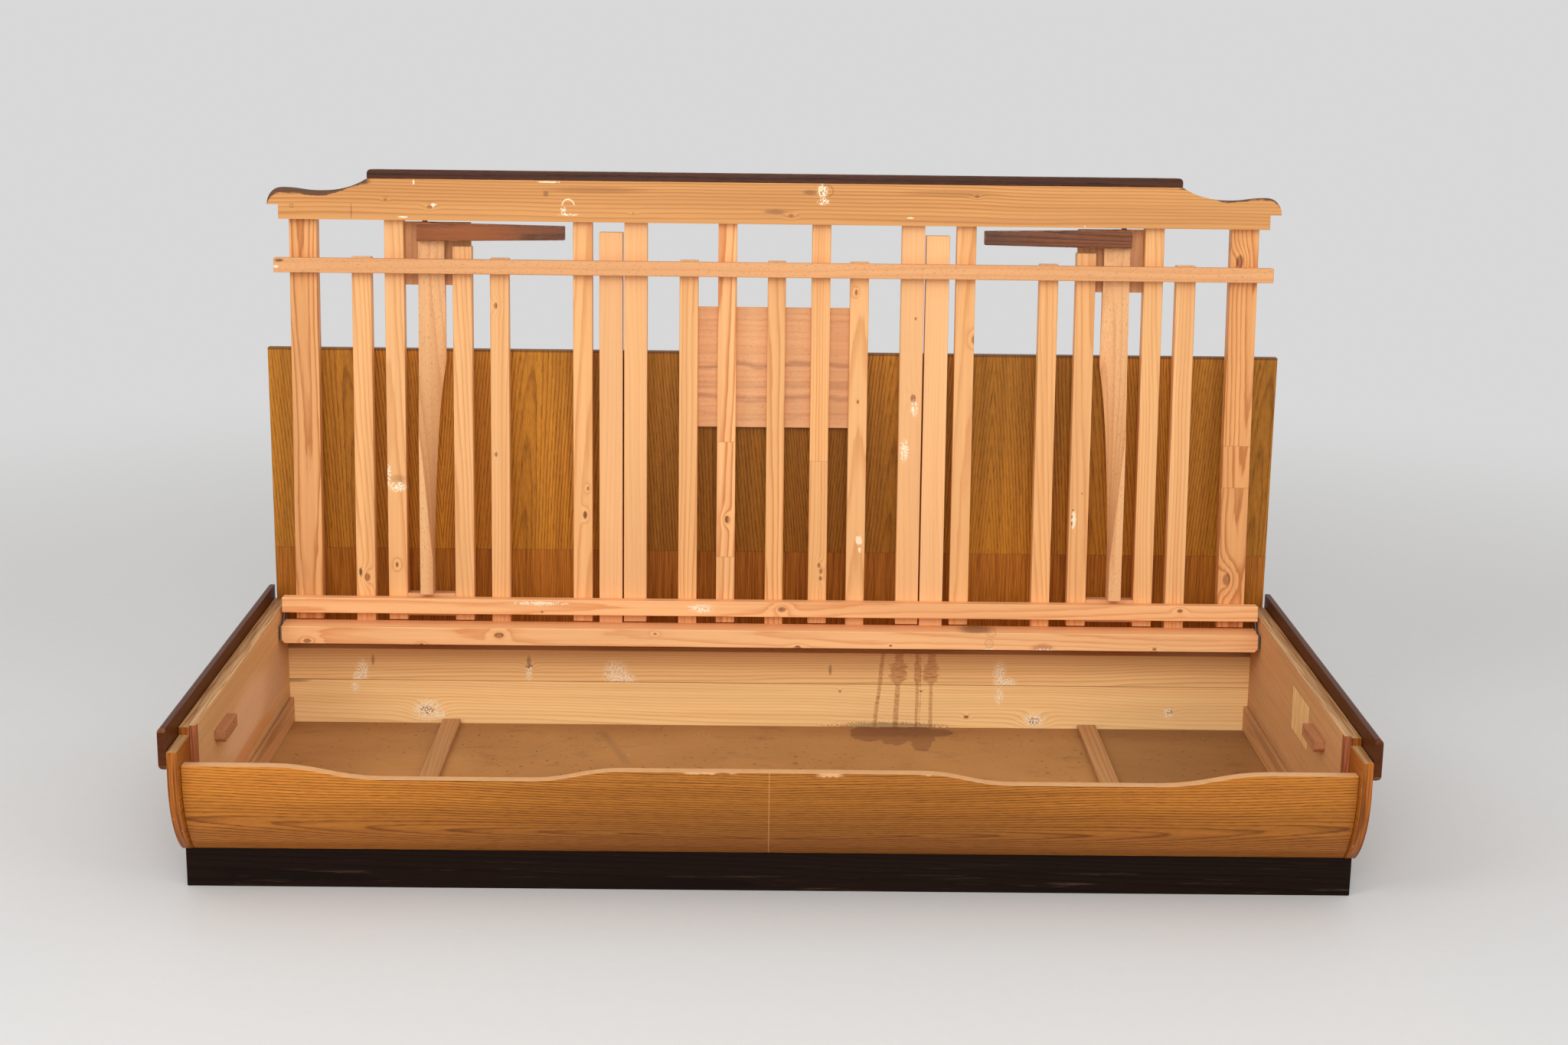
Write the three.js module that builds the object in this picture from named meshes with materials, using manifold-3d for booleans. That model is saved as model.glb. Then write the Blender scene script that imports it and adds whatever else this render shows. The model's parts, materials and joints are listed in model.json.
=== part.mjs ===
// Sofa bed with a storage box. The slatted back folds down on two pins to cover the box,
// then its front half slides out and two legs swing down under it.
// Millimetres, +Z up, front towards -Y, X along the bench.
import * as THREE from 'three';
import { mergeVertices } from 'three/addons/utils/BufferGeometryUtils.js';
import Module from 'manifold-3d';

const wasm = await Module();
wasm.setup();

// Clearances
const gap = 0.3;              // between pieces that are fixed together or slide face to face
const restGap = 0.5;          // between a moving frame and what it is set down on
const play = 0.3;             // round a pin or spigot, on the radius

// Layers of the box ends, from the outside in
const overallWidth = 2000;
const capThickness = 13.2;
const sideThickness = 18.5;
const liningThickness = 10.7;
const cleatThickness = 7.7;
const pegThickness = 17.7;

// Depths, measured back from the front edge of the side boards
const boxDepth = 870;         // to the front face of the back boards
const backBoardThickness = 29.7;
const backPanelThickness = 18;
const frontPanelSetback = 17;
const frontPanelThickness = 20;
const plinthRecess = 5;       // behind the foot of the front panel
const plinthThickness = 18;
const plinthInset = 3.8;      // plinth face inside the side board's face
const liningSetback = 88;
const capSetback = 2;
const capRearOver = 8.3;      // cap end behind the back boards
const capNose = 9;            // rounding of the cap's front end, above
const capHeel = 13;           // and below
const capEdge = 6;            // rounding of its outer edge, above
const capFoot = 10;           // and below
const pivotInset = 30;        // hinge pin in front of the back boards

// Heights
const plinthHeight = 70;
const frontPanelTop = 237;
const uprightEdge = 22;       // straight edge above the front curve
const frontDip = 21;          // depth of the hollows in the front panel's top edge
const hollowMargin = 5;       // hollow past the leg's tip
const innerTurn = 150;        // length of the S at the hollow's inner end
const outerTurn = 185;        // and at its outer end
const turnEase = 0.42;        // reach of the S's level ends, as a share of its length
const frontMiddleDrop = 3;    // top edge between the hollows
const outerTurnInset = 31;    // outer S starts inside the leg's axis
const sideTuck = THREE.MathUtils.degToRad(55.8);    // turn of the side board's front curve
const frontTuck = THREE.MathUtils.degToRad(46.3);   // turn of the front panel's curve
const pivotRise = 16.5;       // hinge pin above the underside of the lowered slats
const liningAbovePin = 9;
const sideBelowLining = 3;
const sideFrontBelowLining = 17;    // side board's top in front of the lining
const capLap = 34;            // lap of the cap over the front of the side board
const capHeight = 73;
const floorHeight = 28;
const floorThickness = 4;
const battenThickness = 10;
const battenWidth = 36;
const battenCentre = 635;
const battenEndGap = 5;
const cleatHeight = 50.7;
const pegHeight = 22;
const pegLength = 98;
const pegChamfer = 7;         // on the peg's lower front edge
const pegScrewRadius = 4;     // counterbore of each of its two screws
const pegScrewDepth = 2.5;
const pegScrewEnd = 24;       // from the peg's end
const pegBehindRail = 27;     // rear end of the peg behind the pulled-out rail
const lowerBackBoardTop = 120;
const sweepClearance = 6.6;   // back boards below the swing of the rear rail
const backPanelTop = 783;
const backPanelInset = 4.5;   // back panel edge inside the side board's face

// Slatted frames: v runs up the raised back from the sliding rail's lower edge, w out of its front
const slatThickness = 28;
const pivotBelowDatum = 1;    // hinge pin under the datum edge, along v
const rearRailDrop = 58;      // lower edge of the hinged rear rail under the datum edge
const rearRailHeight = 40;
const rearRailThickness = 43;
const rearRailFall = 6;       // slope of its upper face, towards the front
const rearRailChamfer = 6;
const rearRailEndGap = 6;     // rail end to lining
const slidingRailHeight = 30;
const slidingRailThickness = 27;
const slidingRailEndGap = 5;
const crossRailHeight = 28;
const crossRailThickness = 25;
const crossRailEndGap = 2;
const crossRailBelowLeg = 33.5;
const frontRailReach = 78;    // front rail's inner edge behind the side boards' front when lowered
const frontRailHeight = 78;
const frontRailThickness = 20;
const earHeight = 27.5;       // notch below each ear of the front rail
const earStart = 12;          // from the lining to the notch
const earEndGap = 2;          // ear to side board
const earNose = 28;           // length of the ear's rounding
const earDrop = 18;           // ear top below the rail's outer edge
const facingInset = 190;      // from the ear's end to the facing
const facingThickness = 17;
const facingRear = 30;        // facing behind the slats' front plane
const facingCorner = 8;
const sweepLength = 90;       // from the facing's end to the lowest point of the sweep
const sweepPull = 35;         // its steepness beside the facing
const valleyDepth = 5.5;      // lowest point below the ear's top
const travel = 550;           // pull-out

// Slats: overhang past the rails, and the special lengths
const hingedSlatOver = 2;     // above the cross rail
const longSlatOver = 54;
const slidingSlatUnder = 17;  // below the sliding rail
const slidingSlatShort = 7;   // below the front rail's outer edge
const cutSlatOver = 24;       // cut slat beside the leg, above the cross rail
const centreSlatWidth = 35;
const narrowSlatWidth = 36;
const slatWidth = 37;
const wideSlatWidth = 44;
const longSlatWidth = 45;
const endSlatWidth = 53;
const centreSlatShift = 5;
const patchHalf = 150;
const patchFrom = 366;
const patchHeight = 234;
const patchThickness = 6;

// Swinging legs
const legWidth = 36;
const legTipWidth = 26.5;
const legThickness = 23.7;
const legBelowRail = 3.5;
const legFootClearance = 0.5;
const armAxisDepth = 13;      // pivot axis behind the slats' front plane
const armOut = 12;            // arm section about its axis: outwards, inwards, rearwards, forwards
const armIn = 38;
const armRear = 10;
const armFront = 33;
const armChamfer = 5;
const armHead = 10;
const armClearance = 12;      // axis to the face that runs on the cross rail
const spigotRadius = 5;
const spigotLength = 25;
const spigotEndGap = 1;
const headRun = 12;           // run of the arm from its twist to its flat head
const blockRise = 6;          // lower bearing block above the sliding rail
const blockUnder = 8;         // and below its lower edge
const bearingHeight = 29;
const bearingHalf = 22;
const gussetThickness = 12;
const gussetHeight = 121;
const gussetBelowRail = 4;
const gussetLap = 32.5;       // onto the cut slat
const gussetOuterLap = 5.5;   // onto the next slat

// Hinge plates
const plateThickness = 3;
const plateMargin = 3;
const eyeRadius = 10;
const pinRadius = 4;
const pinEndGap = 1.7;        // pin end inside the lining's outer face

// Box widths, as half widths from the middle
const capInner = overallWidth / 2 - capThickness;
const sideOuter = capInner - gap;
const sideInner = sideOuter - sideThickness;
const liningOuter = sideInner - gap;
const liningInner = liningOuter - liningThickness;

// Box depths and heights
const boxRear = boxDepth + backBoardThickness;
const panelFront = boxRear + gap;
const sideBottom = plinthHeight + gap;
const curveTop = frontPanelTop - uprightEdge;
const frontRadius = (curveTop - sideBottom) / Math.sin(frontTuck);
const sideRadius = (curveTop - sideBottom) / Math.sin(sideTuck);
const frontCentre = frontPanelSetback + frontRadius;
const plinthFront = frontCentre - frontRadius * Math.cos(frontTuck) + plinthRecess;
const plinthRear = plinthFront + plinthThickness;
const floorTop = floorHeight + floorThickness;
const slatUnderside = frontPanelTop + restGap + frontRailThickness;
const pivotHeight = slatUnderside + pivotRise;
const pivotDepth = boxDepth - pivotInset;
const combDepth = pivotDepth - pivotBelowDatum;
const liningTop = pivotHeight + liningAbovePin;
const sideTop = liningTop - sideBelowLining;
const sideFrontTop = liningTop - sideFrontBelowLining;
const capBottom = sideFrontTop - capLap;
const pegTop = slatUnderside - slidingRailThickness - restGap;
const pegRear = combDepth - travel + pegBehindRail;
const rearRailSwing = Math.hypot(rearRailDrop - pivotBelowDatum, rearRailThickness + pivotRise);
const backBoardTop = pivotHeight - rearRailSwing - sweepClearance;

// Slatted frame heights along v
const frontRailFrom = combDepth - frontRailReach;
const frontRailTo = frontRailFrom + frontRailHeight;
const armTo = frontRailFrom - legBelowRail;
const legFrom = armTo - legWidth;
const crossRailTo = legFrom - crossRailBelowLeg;
const crossRailFrom = crossRailTo - crossRailHeight;
const blockTo = slidingRailHeight + blockRise;
const armFrom = blockTo + 1;
const slatFront = -gap;
const slatBack = slatFront - slatThickness;
const patchBack = slatBack - gap - patchThickness;
const legReach = slatUnderside + armAxisDepth - legFootClearance;

// Lean of the raised back, its patch against the back panel's top edge
const leanDepth = panelFront - pivotDepth;
const leanHeight = backPanelTop - pivotHeight;
const patchOffset = patchBack - restGap + pivotRise;
const lean = Math.atan2(leanDepth, leanHeight)
  + Math.asin(patchOffset / Math.hypot(leanDepth, leanHeight));

// Slats from the middle outwards: frame, width, and the space before each.
// The spaces are stretched together so that the row fills the rear rail.
const armBay = 93;
const rowEnd = 22;
const slatRow = [
  { name: 'sliding_slat_inner', frame: 'sliding', width: narrowSlatWidth, space: 54.5 },
  { name: 'hinged_slat_inner', frame: 'hinged', width: narrowSlatWidth, space: 38 },
  { name: 'sliding_slat_wide', frame: 'sliding', width: wideSlatWidth, space: 62 },
  { name: 'hinged_slat_long', frame: 'hinged', width: longSlatWidth, space: 3, over: longSlatOver },
  { name: 'sliding_slat_middle', frame: 'sliding', width: slatWidth, space: 13.5 },
  { name: 'hinged_slat_middle', frame: 'hinged', width: narrowSlatWidth, space: 123.5 },
  { name: 'sliding_slat_cut', frame: 'sliding', width: slatWidth, space: 34.5 },
  { name: 'sliding_slat_outer', frame: 'sliding', width: slatWidth, space: 0, bay: armBay },
  { name: 'hinged_slat_outer', frame: 'hinged', width: slatWidth, space: 26 },
  { name: 'sliding_slat_end', frame: 'sliding', width: endSlatWidth, space: 65.5,
    short: earDrop + valleyDepth },
];
const rearRailHalf = liningInner - rearRailEndGap;
const fixedWidth = slatRow.reduce((sum, slat) => sum + slat.width, centreSlatWidth / 2 + armBay);
const spaceSum = slatRow.reduce((sum, slat) => sum + slat.space, rowEnd);
const stretch = (rearRailHalf - fixedWidth) / spaceSum;
let rowReach = centreSlatWidth / 2;
for (const slat of slatRow) {
  slat.from = rowReach + slat.space * stretch + (slat.bay ?? 0);
  slat.to = slat.from + slat.width;
  rowReach = slat.to;
}
const cutSlat = slatRow.find(slat => slat.name === 'sliding_slat_cut');
const outerSlat = slatRow.find(slat => slat.name === 'sliding_slat_outer');
const armBayOut = 39.5;       // arm axis to the outer slat
const armX = outerSlat.from - armBayOut;

// Materials
const finish = (color, roughness, metalness = 0) => () =>
  new THREE.MeshStandardMaterial({ color, roughness, metalness });
const pine = finish(0xdba36c, 0.6);
const palePine = finish(0xe0ae7a, 0.6);
const beech = finish(0xdca473, 0.5);
const hardwood = finish(0xa5643f, 0.55);
const oak = finish(0xb87b38, 0.45);
const mahogany = finish(0x2e1c16, 0.35);
const walnut = finish(0x74432a, 0.55);
const plywood = finish(0xcaa777, 0.65);
const hardboard = finish(0x9c7040, 0.75);
const steel = finish(0x8c8a86, 0.4, 0.9);

// Solids and meshes
function solid(geometry) {
  const bare = geometry.index ? geometry.toNonIndexed() : geometry.clone();
  bare.deleteAttribute('normal');
  bare.deleteAttribute('uv');
  const merged = mergeVertices(bare);
  const vertProperties = new Float32Array(merged.attributes.position.array);
  const triVerts = new Uint32Array(merged.index.array);
  return new wasm.Manifold(new wasm.Mesh({ numProp: 3, vertProperties, triVerts }));
}

function surface(manifold) {
  const { vertProperties, triVerts } = manifold.getMesh();
  const geometry = new THREE.BufferGeometry();
  geometry.setAttribute('position', new THREE.BufferAttribute(vertProperties, 3));
  geometry.setIndex(new THREE.BufferAttribute(triVerts, 1));
  geometry.computeVertexNormals();
  return geometry;
}

const subtract = (geometry, tool) => surface(solid(geometry).subtract(solid(tool)));
const join = (geometry, other) => surface(solid(geometry).add(solid(other)));
const intersect = (geometry, other) => surface(solid(geometry).intersect(solid(other)));

function block([x0, x1], [y0, y1], [z0, z1]) {
  const geometry = new THREE.BoxGeometry(x1 - x0, y1 - y0, z1 - z0);
  return geometry.translate((x0 + x1) / 2, (y0 + y1) / 2, (z0 + z1) / 2);
}

// Extrusion of an outline drawn in the X-Y plane, from z0 to z1
function plate(shape, [z0, z1], curveSegments = 12) {
  const options = { depth: z1 - z0, bevelEnabled: false, curveSegments };
  return new THREE.ExtrudeGeometry(shape, options).translate(0, 0, z0);
}

// Extrusion of a Y-Z profile along X, and of an X-Z outline along Y
const alongX = new THREE.Matrix4().makeBasis(
  new THREE.Vector3(0, 1, 0), new THREE.Vector3(0, 0, 1), new THREE.Vector3(1, 0, 0));
const alongY = new THREE.Matrix4().makeBasis(
  new THREE.Vector3(1, 0, 0), new THREE.Vector3(0, 0, 1), new THREE.Vector3(0, -1, 0));
const profileAlongX = (shape, span, segments) => plate(shape, span, segments).applyMatrix4(alongX);
const outlineAlongY = (shape, [y0, y1], segments) =>
  plate(shape, [-y1, -y0], segments).applyMatrix4(alongY);

function mirrored(geometry) {
  const flipped = (geometry.index ? geometry.toNonIndexed() : geometry.clone()).scale(-1, 1, 1);
  const { array } = flipped.attributes.position;
  for (let i = 0; i < array.length; i += 9) {
    for (let k = 0; k < 3; k += 1) {
      [array[i + k], array[i + 3 + k]] = [array[i + 3 + k], array[i + k]];
    }
  }
  flipped.computeVertexNormals();
  return flipped;
}

function add(parent, name, geometry, material) {
  const mesh = new THREE.Mesh(geometry, material());
  mesh.name = name;
  parent.add(mesh);
}

// The right piece is drawn; the left one is its mirror image
function addPair(parent, name, geometry, material) {
  add(parent, `${name}_right`, geometry, material);
  add(parent, `${name}_left`, mirrored(geometry), material);
}

const mirrorPoint = point => new THREE.Vector2(-point.x, point.y);

// Closed outline from its right half, which starts and ends on the middle line
function symmetric(half, segments) {
  const right = half.getPoints(segments);
  const left = right.slice(1, -1).reverse().map(mirrorPoint);
  return new THREE.Shape([...right, ...left]);
}

// Closed outline under a symmetric top edge, from the edge's right half
function underEdge(half, bottom, segments) {
  const right = half.getPoints(segments);
  const left = right.slice(1).reverse().map(mirrorPoint);
  const end = right.at(-1).x;
  const feet = [new THREE.Vector2(end, bottom), new THREE.Vector2(-end, bottom)];
  return new THREE.Shape([...left, ...right, ...feet]);
}

// Half of an outline's S, level at both ends
function sCurve(path, x0, y0, x1, y1, ease = 0.5) {
  path.bezierCurveTo(x0 + ease * (x1 - x0), y0, x1 - ease * (x1 - x0), y1, x1, y1);
}

// Plinth
function addPlinth(parent) {
  const plinthOuter = sideOuter - plinthInset;
  const height = [0, plinthHeight];
  const front = block([-plinthOuter, plinthOuter], [plinthFront, plinthRear], height);
  add(parent, 'plinth_front', front, mahogany);
  const side = block([sideInner, plinthOuter], [plinthRear + gap, boxRear], height);
  addPair(parent, 'plinth_side', side, mahogany);
}

// Bowed front panel with two hollows in its top edge, over which the legs swing
function addFrontPanel(parent) {
  const innerRadius = frontRadius - frontPanelThickness;
  const profile = new THREE.Shape();
  profile.moveTo(frontPanelSetback, frontPanelTop);
  profile.lineTo(frontPanelSetback, curveTop);
  profile.absarc(frontCentre, curveTop, frontRadius, Math.PI, Math.PI + frontTuck, false);
  const innerEnd = Math.asin((curveTop - sideBottom) / innerRadius);
  profile.absarc(frontCentre, curveTop, innerRadius, Math.PI + innerEnd, Math.PI, true);
  profile.lineTo(frontPanelSetback + frontPanelThickness, frontPanelTop);

  const bowed = profileAlongX(profile, [-liningOuter, liningOuter], 16);

  const hollow = frontPanelTop - frontDip;
  const hollowFrom = armX - legReach - hollowMargin;
  const edge = new THREE.Path();
  const middle = frontPanelTop - frontMiddleDrop;
  edge.moveTo(0, middle);
  edge.lineTo(hollowFrom - innerTurn, middle);
  sCurve(edge, hollowFrom - innerTurn, middle, hollowFrom, hollow, turnEase);
  const hollowTo = armX - outerTurnInset;
  edge.lineTo(hollowTo, hollow);
  sCurve(edge, hollowTo, hollow, hollowTo + outerTurn, frontPanelTop, turnEase);
  edge.lineTo(sideOuter, frontPanelTop);
  const shaped = outlineAlongY(underEdge(edge, 0, 8), [0, frontCentre]);
  add(parent, 'front_panel', intersect(bowed, shaped), oak);
}

// Everything in front of the front panel's inner face, to trim what meets that face
function frontSpace() {
  const radius = frontRadius - frontPanelThickness - gap;
  const turn = Math.asin((curveTop - sideBottom) / radius);
  const profile = new THREE.Shape();
  profile.moveTo(0, liningTop + 1);
  profile.lineTo(0, 0);
  profile.lineTo(frontCentre - radius * Math.cos(turn), 0);
  profile.absarc(frontCentre, curveTop, radius, Math.PI + turn, Math.PI, true);
  profile.lineTo(frontCentre - radius, liningTop + 1);
  return profileAlongX(profile, [-overallWidth, overallWidth], 16);
}

// Side boards follow the front's curve and step up beside the linings, which carry the hinge pins
function addSides(parent) {
  const board = new THREE.Shape();
  board.moveTo(0, sideFrontTop);
  board.lineTo(0, curveTop);
  board.absarc(sideRadius, curveTop, sideRadius, Math.PI, Math.PI + sideTuck, false);
  board.lineTo(boxRear, sideBottom);
  board.lineTo(boxRear, sideTop);
  board.lineTo(liningSetback, sideTop);
  board.lineTo(liningSetback, sideFrontTop);
  addPair(parent, 'side_board', profileAlongX(board, [sideInner, sideOuter], 16), oak);

  const sheet = block([liningInner, liningOuter], [liningSetback, boxDepth - gap],
    [floorTop + gap, liningTop]);
  const hole = new THREE.CylinderGeometry(pinRadius + play, pinRadius + play, overallWidth, 24);
  hole.rotateZ(Math.PI / 2).translate(0, pivotDepth, pivotHeight);
  const lining = subtract(subtract(sheet, frontSpace()), hole);
  addPair(parent, 'side_lining', lining, pine);

  const capTop = capBottom + capHeight;
  const capOuter = capInner + capThickness;
  const section = new THREE.Shape();
  section.moveTo(capInner, capBottom);
  section.lineTo(capOuter - capFoot, capBottom);
  section.absarc(capOuter - capFoot, capBottom + capFoot, capFoot, 1.5 * Math.PI, 2 * Math.PI, false);
  section.absarc(capOuter - capEdge, capTop - capEdge, capEdge, 0, Math.PI / 2, false);
  section.lineTo(capInner, capTop);
  const side = new THREE.Shape();
  side.moveTo(boxRear + capRearOver, capBottom);
  side.lineTo(boxRear + capRearOver, capTop);
  side.absarc(capSetback + capNose, capTop - capNose, capNose, Math.PI / 2, Math.PI, false);
  side.absarc(capSetback + capHeel, capBottom + capHeel, capHeel, Math.PI, 1.5 * Math.PI, false);
  const strip = outlineAlongY(section, [0, 2 * boxRear], 8);
  const rounded = profileAlongX(side, [0, overallWidth], 8);
  addPair(parent, 'side_cap', intersect(strip, rounded), mahogany);
}

// Cleats that hold the floor, and the pegs that the sliding rail comes to rest on
function addFittings(parent) {
  const fittingOuter = liningInner - gap;
  const cleat = block([fittingOuter - cleatThickness, fittingOuter], [0, boxDepth - gap],
    [floorTop + gap, floorTop + gap + cleatHeight]);
  addPair(parent, 'floor_cleat', subtract(cleat, frontSpace()), palePine);

  const pegBottom = pegTop - pegHeight;
  const pegFront = pegRear - pegLength;
  const peg = new THREE.Shape();
  peg.moveTo(pegRear, pegBottom);
  peg.lineTo(pegRear, pegTop);
  peg.lineTo(pegFront, pegTop);
  peg.lineTo(pegFront, pegBottom + pegChamfer);
  peg.lineTo(pegFront + pegChamfer, pegBottom);
  const pegInner = fittingOuter - pegThickness;
  const screwHole = y => {
    const hole = new THREE.CylinderGeometry(pegScrewRadius, pegScrewRadius, 2 * pegScrewDepth, 20);
    return hole.rotateZ(Math.PI / 2).translate(pegInner, y, (pegBottom + pegTop) / 2);
  };
  const bar = profileAlongX(peg, [pegInner, fittingOuter]);
  const bored = subtract(bar, screwHole(pegFront + pegScrewEnd));
  addPair(parent, 'rest_peg', subtract(bored, screwHole(pegRear - pegScrewEnd)), hardwood);

  const batten = block([battenCentre - battenWidth / 2, battenCentre + battenWidth / 2],
    [plinthRear + gap, boxDepth - battenEndGap], [floorTop + gap, floorTop + gap + battenThickness]);
  addPair(parent, 'floor_batten', batten, palePine);
}

function addBack(parent) {
  const width = [-liningOuter, liningOuter];
  const depth = [boxDepth, boxRear];
  add(parent, 'back_board_lower', block(width, depth, [0, lowerBackBoardTop]), pine);
  const upper = block(width, depth, [lowerBackBoardTop + gap, backBoardTop]);
  add(parent, 'back_board_upper', upper, pine);
  const half = sideOuter - backPanelInset;
  const panel = block([-half, half], [panelFront, panelFront + backPanelThickness],
    [sideBottom, backPanelTop]);
  add(parent, 'back_panel', panel, oak);
  const floor = block(width, [plinthRear + gap, boxDepth - gap], [floorHeight, floorTop]);
  add(parent, 'floor_panel', floor, hardboard);
}

const slat = ({ from, to }, bottom, top) => block([from, to], [bottom, top], [slatBack, slatFront]);

// Hinged frame: slats on a rear rail and a cross rail, turning on a plate and pin at each end
function addHingedFrame(parent) {
  const bottom = -rearRailDrop;
  const centre = { from: centreSlatShift - centreSlatWidth / 2, to: centreSlatShift + centreSlatWidth / 2 };
  add(parent, 'hinged_slat_centre', slat(centre, bottom, crossRailTo + hingedSlatOver), pine);
  for (const item of slatRow.filter(entry => entry.frame === 'hinged')) {
    addPair(parent, item.name, slat(item, bottom, crossRailTo + (item.over ?? hingedSlatOver)), pine);
  }

  const ends = new THREE.Path();
  ends.moveTo(0, bottom + rearRailHeight);
  ends.lineTo(rearRailHalf, bottom + rearRailHeight);
  ends.lineTo(rearRailHalf, bottom + rearRailChamfer);
  ends.lineTo(rearRailHalf - rearRailChamfer, bottom);
  ends.lineTo(0, bottom);
  const section = new THREE.Shape();
  section.moveTo(bottom, 0);
  section.lineTo(bottom + rearRailHeight, 0);
  section.lineTo(bottom + rearRailHeight - rearRailFall, rearRailThickness);
  section.lineTo(bottom, rearRailThickness);
  const rear = intersect(plate(symmetric(ends), [0, rearRailThickness]),
    profileAlongX(section, [-rearRailHalf, rearRailHalf]));
  add(parent, 'rear_rail', rear, pine);

  const crossHalf = liningInner - crossRailEndGap;
  const cross = block([-crossHalf, crossHalf], [crossRailFrom, crossRailTo], [0, crossRailThickness]);
  add(parent, 'cross_rail', cross, beech);
  const patch = block([-patchHalf, patchHalf], [patchFrom, patchFrom + patchHeight],
    [patchBack, patchBack + patchThickness]);
  add(parent, 'slat_patch', patch, plywood);
  addHingePlates(parent, bottom);
}

// Crank plate on the rear rail's end, round the sliding rail to an eye with the hinge pin
function addHingePlates(parent, bottom) {
  const railTop = bottom + rearRailHeight - rearRailFall;
  const front = rearRailThickness - plateMargin;
  const plateFrom = rearRailHalf + gap;
  const outline = new THREE.Shape();
  outline.moveTo(bottom + rearRailChamfer, plateMargin);
  outline.lineTo(-pivotBelowDatum - eyeRadius, -pivotRise);
  outline.absarc(-pivotBelowDatum, -pivotRise, eyeRadius, Math.PI, 2 * Math.PI + Math.PI / 4, false);
  outline.lineTo(railTop, plateMargin + eyeRadius);
  outline.lineTo(railTop, front);
  outline.lineTo(bottom + plateMargin, front);
  outline.lineTo(bottom + plateMargin, rearRailChamfer);
  const crank = profileAlongX(outline, [plateFrom, plateFrom + plateThickness], 12);
  const pinLength = liningOuter - pinEndGap - plateFrom;
  const pin = new THREE.CylinderGeometry(pinRadius, pinRadius, pinLength, 24);
  pin.rotateZ(Math.PI / 2);
  pin.translate(plateFrom + pinLength / 2, -pivotBelowDatum, -pivotRise);
  addPair(parent, 'hinge_plate', join(crank, pin), steel);
}

// Sliding frame: slats between the shaped front rail and the sliding rail
function addSlidingFrame(parent) {
  for (const item of slatRow.filter(entry => entry.frame === 'sliding')) {
    const full = frontRailTo - slidingSlatShort - (item.short ?? 0);
    const top = item === cutSlat ? crossRailTo + cutSlatOver : full;
    addPair(parent, item.name, slat(item, -slidingSlatUnder, top), palePine);
  }
  const slidingHalf = liningInner - slidingRailEndGap;
  const rail = block([-slidingHalf, slidingHalf], [0, slidingRailHeight], [0, slidingRailThickness]);
  add(parent, 'sliding_rail', rail, pine);
  addFrontRail(parent);
  addBearings(parent);
}

// Front rail with a rounded ear at each end and a sweep from the facing down to it
function addFrontRail(parent) {
  const earEnd = sideInner - earEndGap;
  const facingHalf = earEnd - facingInset;
  const earTop = frontRailTo - earDrop;
  const earLip = frontRailFrom + earHeight;
  const half = new THREE.Path();
  half.moveTo(0, frontRailFrom);
  half.lineTo(liningInner - earStart, frontRailFrom);
  half.lineTo(liningInner - earStart, earLip);
  half.lineTo(earEnd, earLip);
  half.absellipse(earEnd - earNose, earLip, earNose, earTop - earLip, 0, Math.PI / 2, false);
  const valley = [facingHalf + sweepLength, earTop - valleyDepth];
  sCurve(half, earEnd - earNose, earTop, ...valley);
  half.quadraticCurveTo(facingHalf + sweepPull, valley[1], facingHalf, frontRailTo);
  half.lineTo(0, frontRailTo);
  const rail = plate(symmetric(half, 8), [0, frontRailThickness]);
  add(parent, 'front_rail', rail, pine);

  const strip = new THREE.Path();
  const from = frontRailTo + gap;
  strip.moveTo(0, from);
  strip.lineTo(facingHalf, from);
  strip.absarc(facingHalf - facingCorner, from + facingThickness - facingCorner, facingCorner,
    0, Math.PI / 2, false);
  strip.lineTo(0, from + facingThickness);
  const facing = plate(symmetric(strip, 8), [-facingRear, frontRailThickness]);
  add(parent, 'front_facing', facing, mahogany);
}

// Blocks that the legs' spigots turn in, and the gusset that ties the cut slat to its neighbour
function addBearings(parent) {
  const lowerSpan = [cutSlat.to + gap, outerSlat.from - gap];
  const lower = block(lowerSpan, [-blockUnder, blockTo], [slatBack, slatFront]);
  addPair(parent, 'leg_block_lower', subtract(lower, socket(blockTo - spigotLength)), beech);

  const upperSpan = [armX - bearingHalf, armX + bearingHalf];
  const upper = block(upperSpan, [frontRailFrom, frontRailFrom + bearingHeight],
    [slatBack, slatFront - gap]);
  addPair(parent, 'leg_block_upper', subtract(upper, socket(frontRailFrom - 1)), beech);

  const gussetTo = frontRailFrom - gussetBelowRail;
  const gusset = block([cutSlat.to - gussetLap, outerSlat.from + gussetOuterLap],
    [gussetTo - gussetHeight, gussetTo], [slatBack - gap - gussetThickness, slatBack - gap]);
  addPair(parent, 'slat_gusset', gusset, plywood);
}

// Space of a spigot and its play, from v upwards
function socket(v) {
  const radius = spigotRadius + play;
  const geometry = new THREE.CylinderGeometry(radius, radius, spigotLength + 1, 24);
  return geometry.translate(armX, v + (spigotLength + 1) / 2, -armAxisDepth);
}

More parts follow.
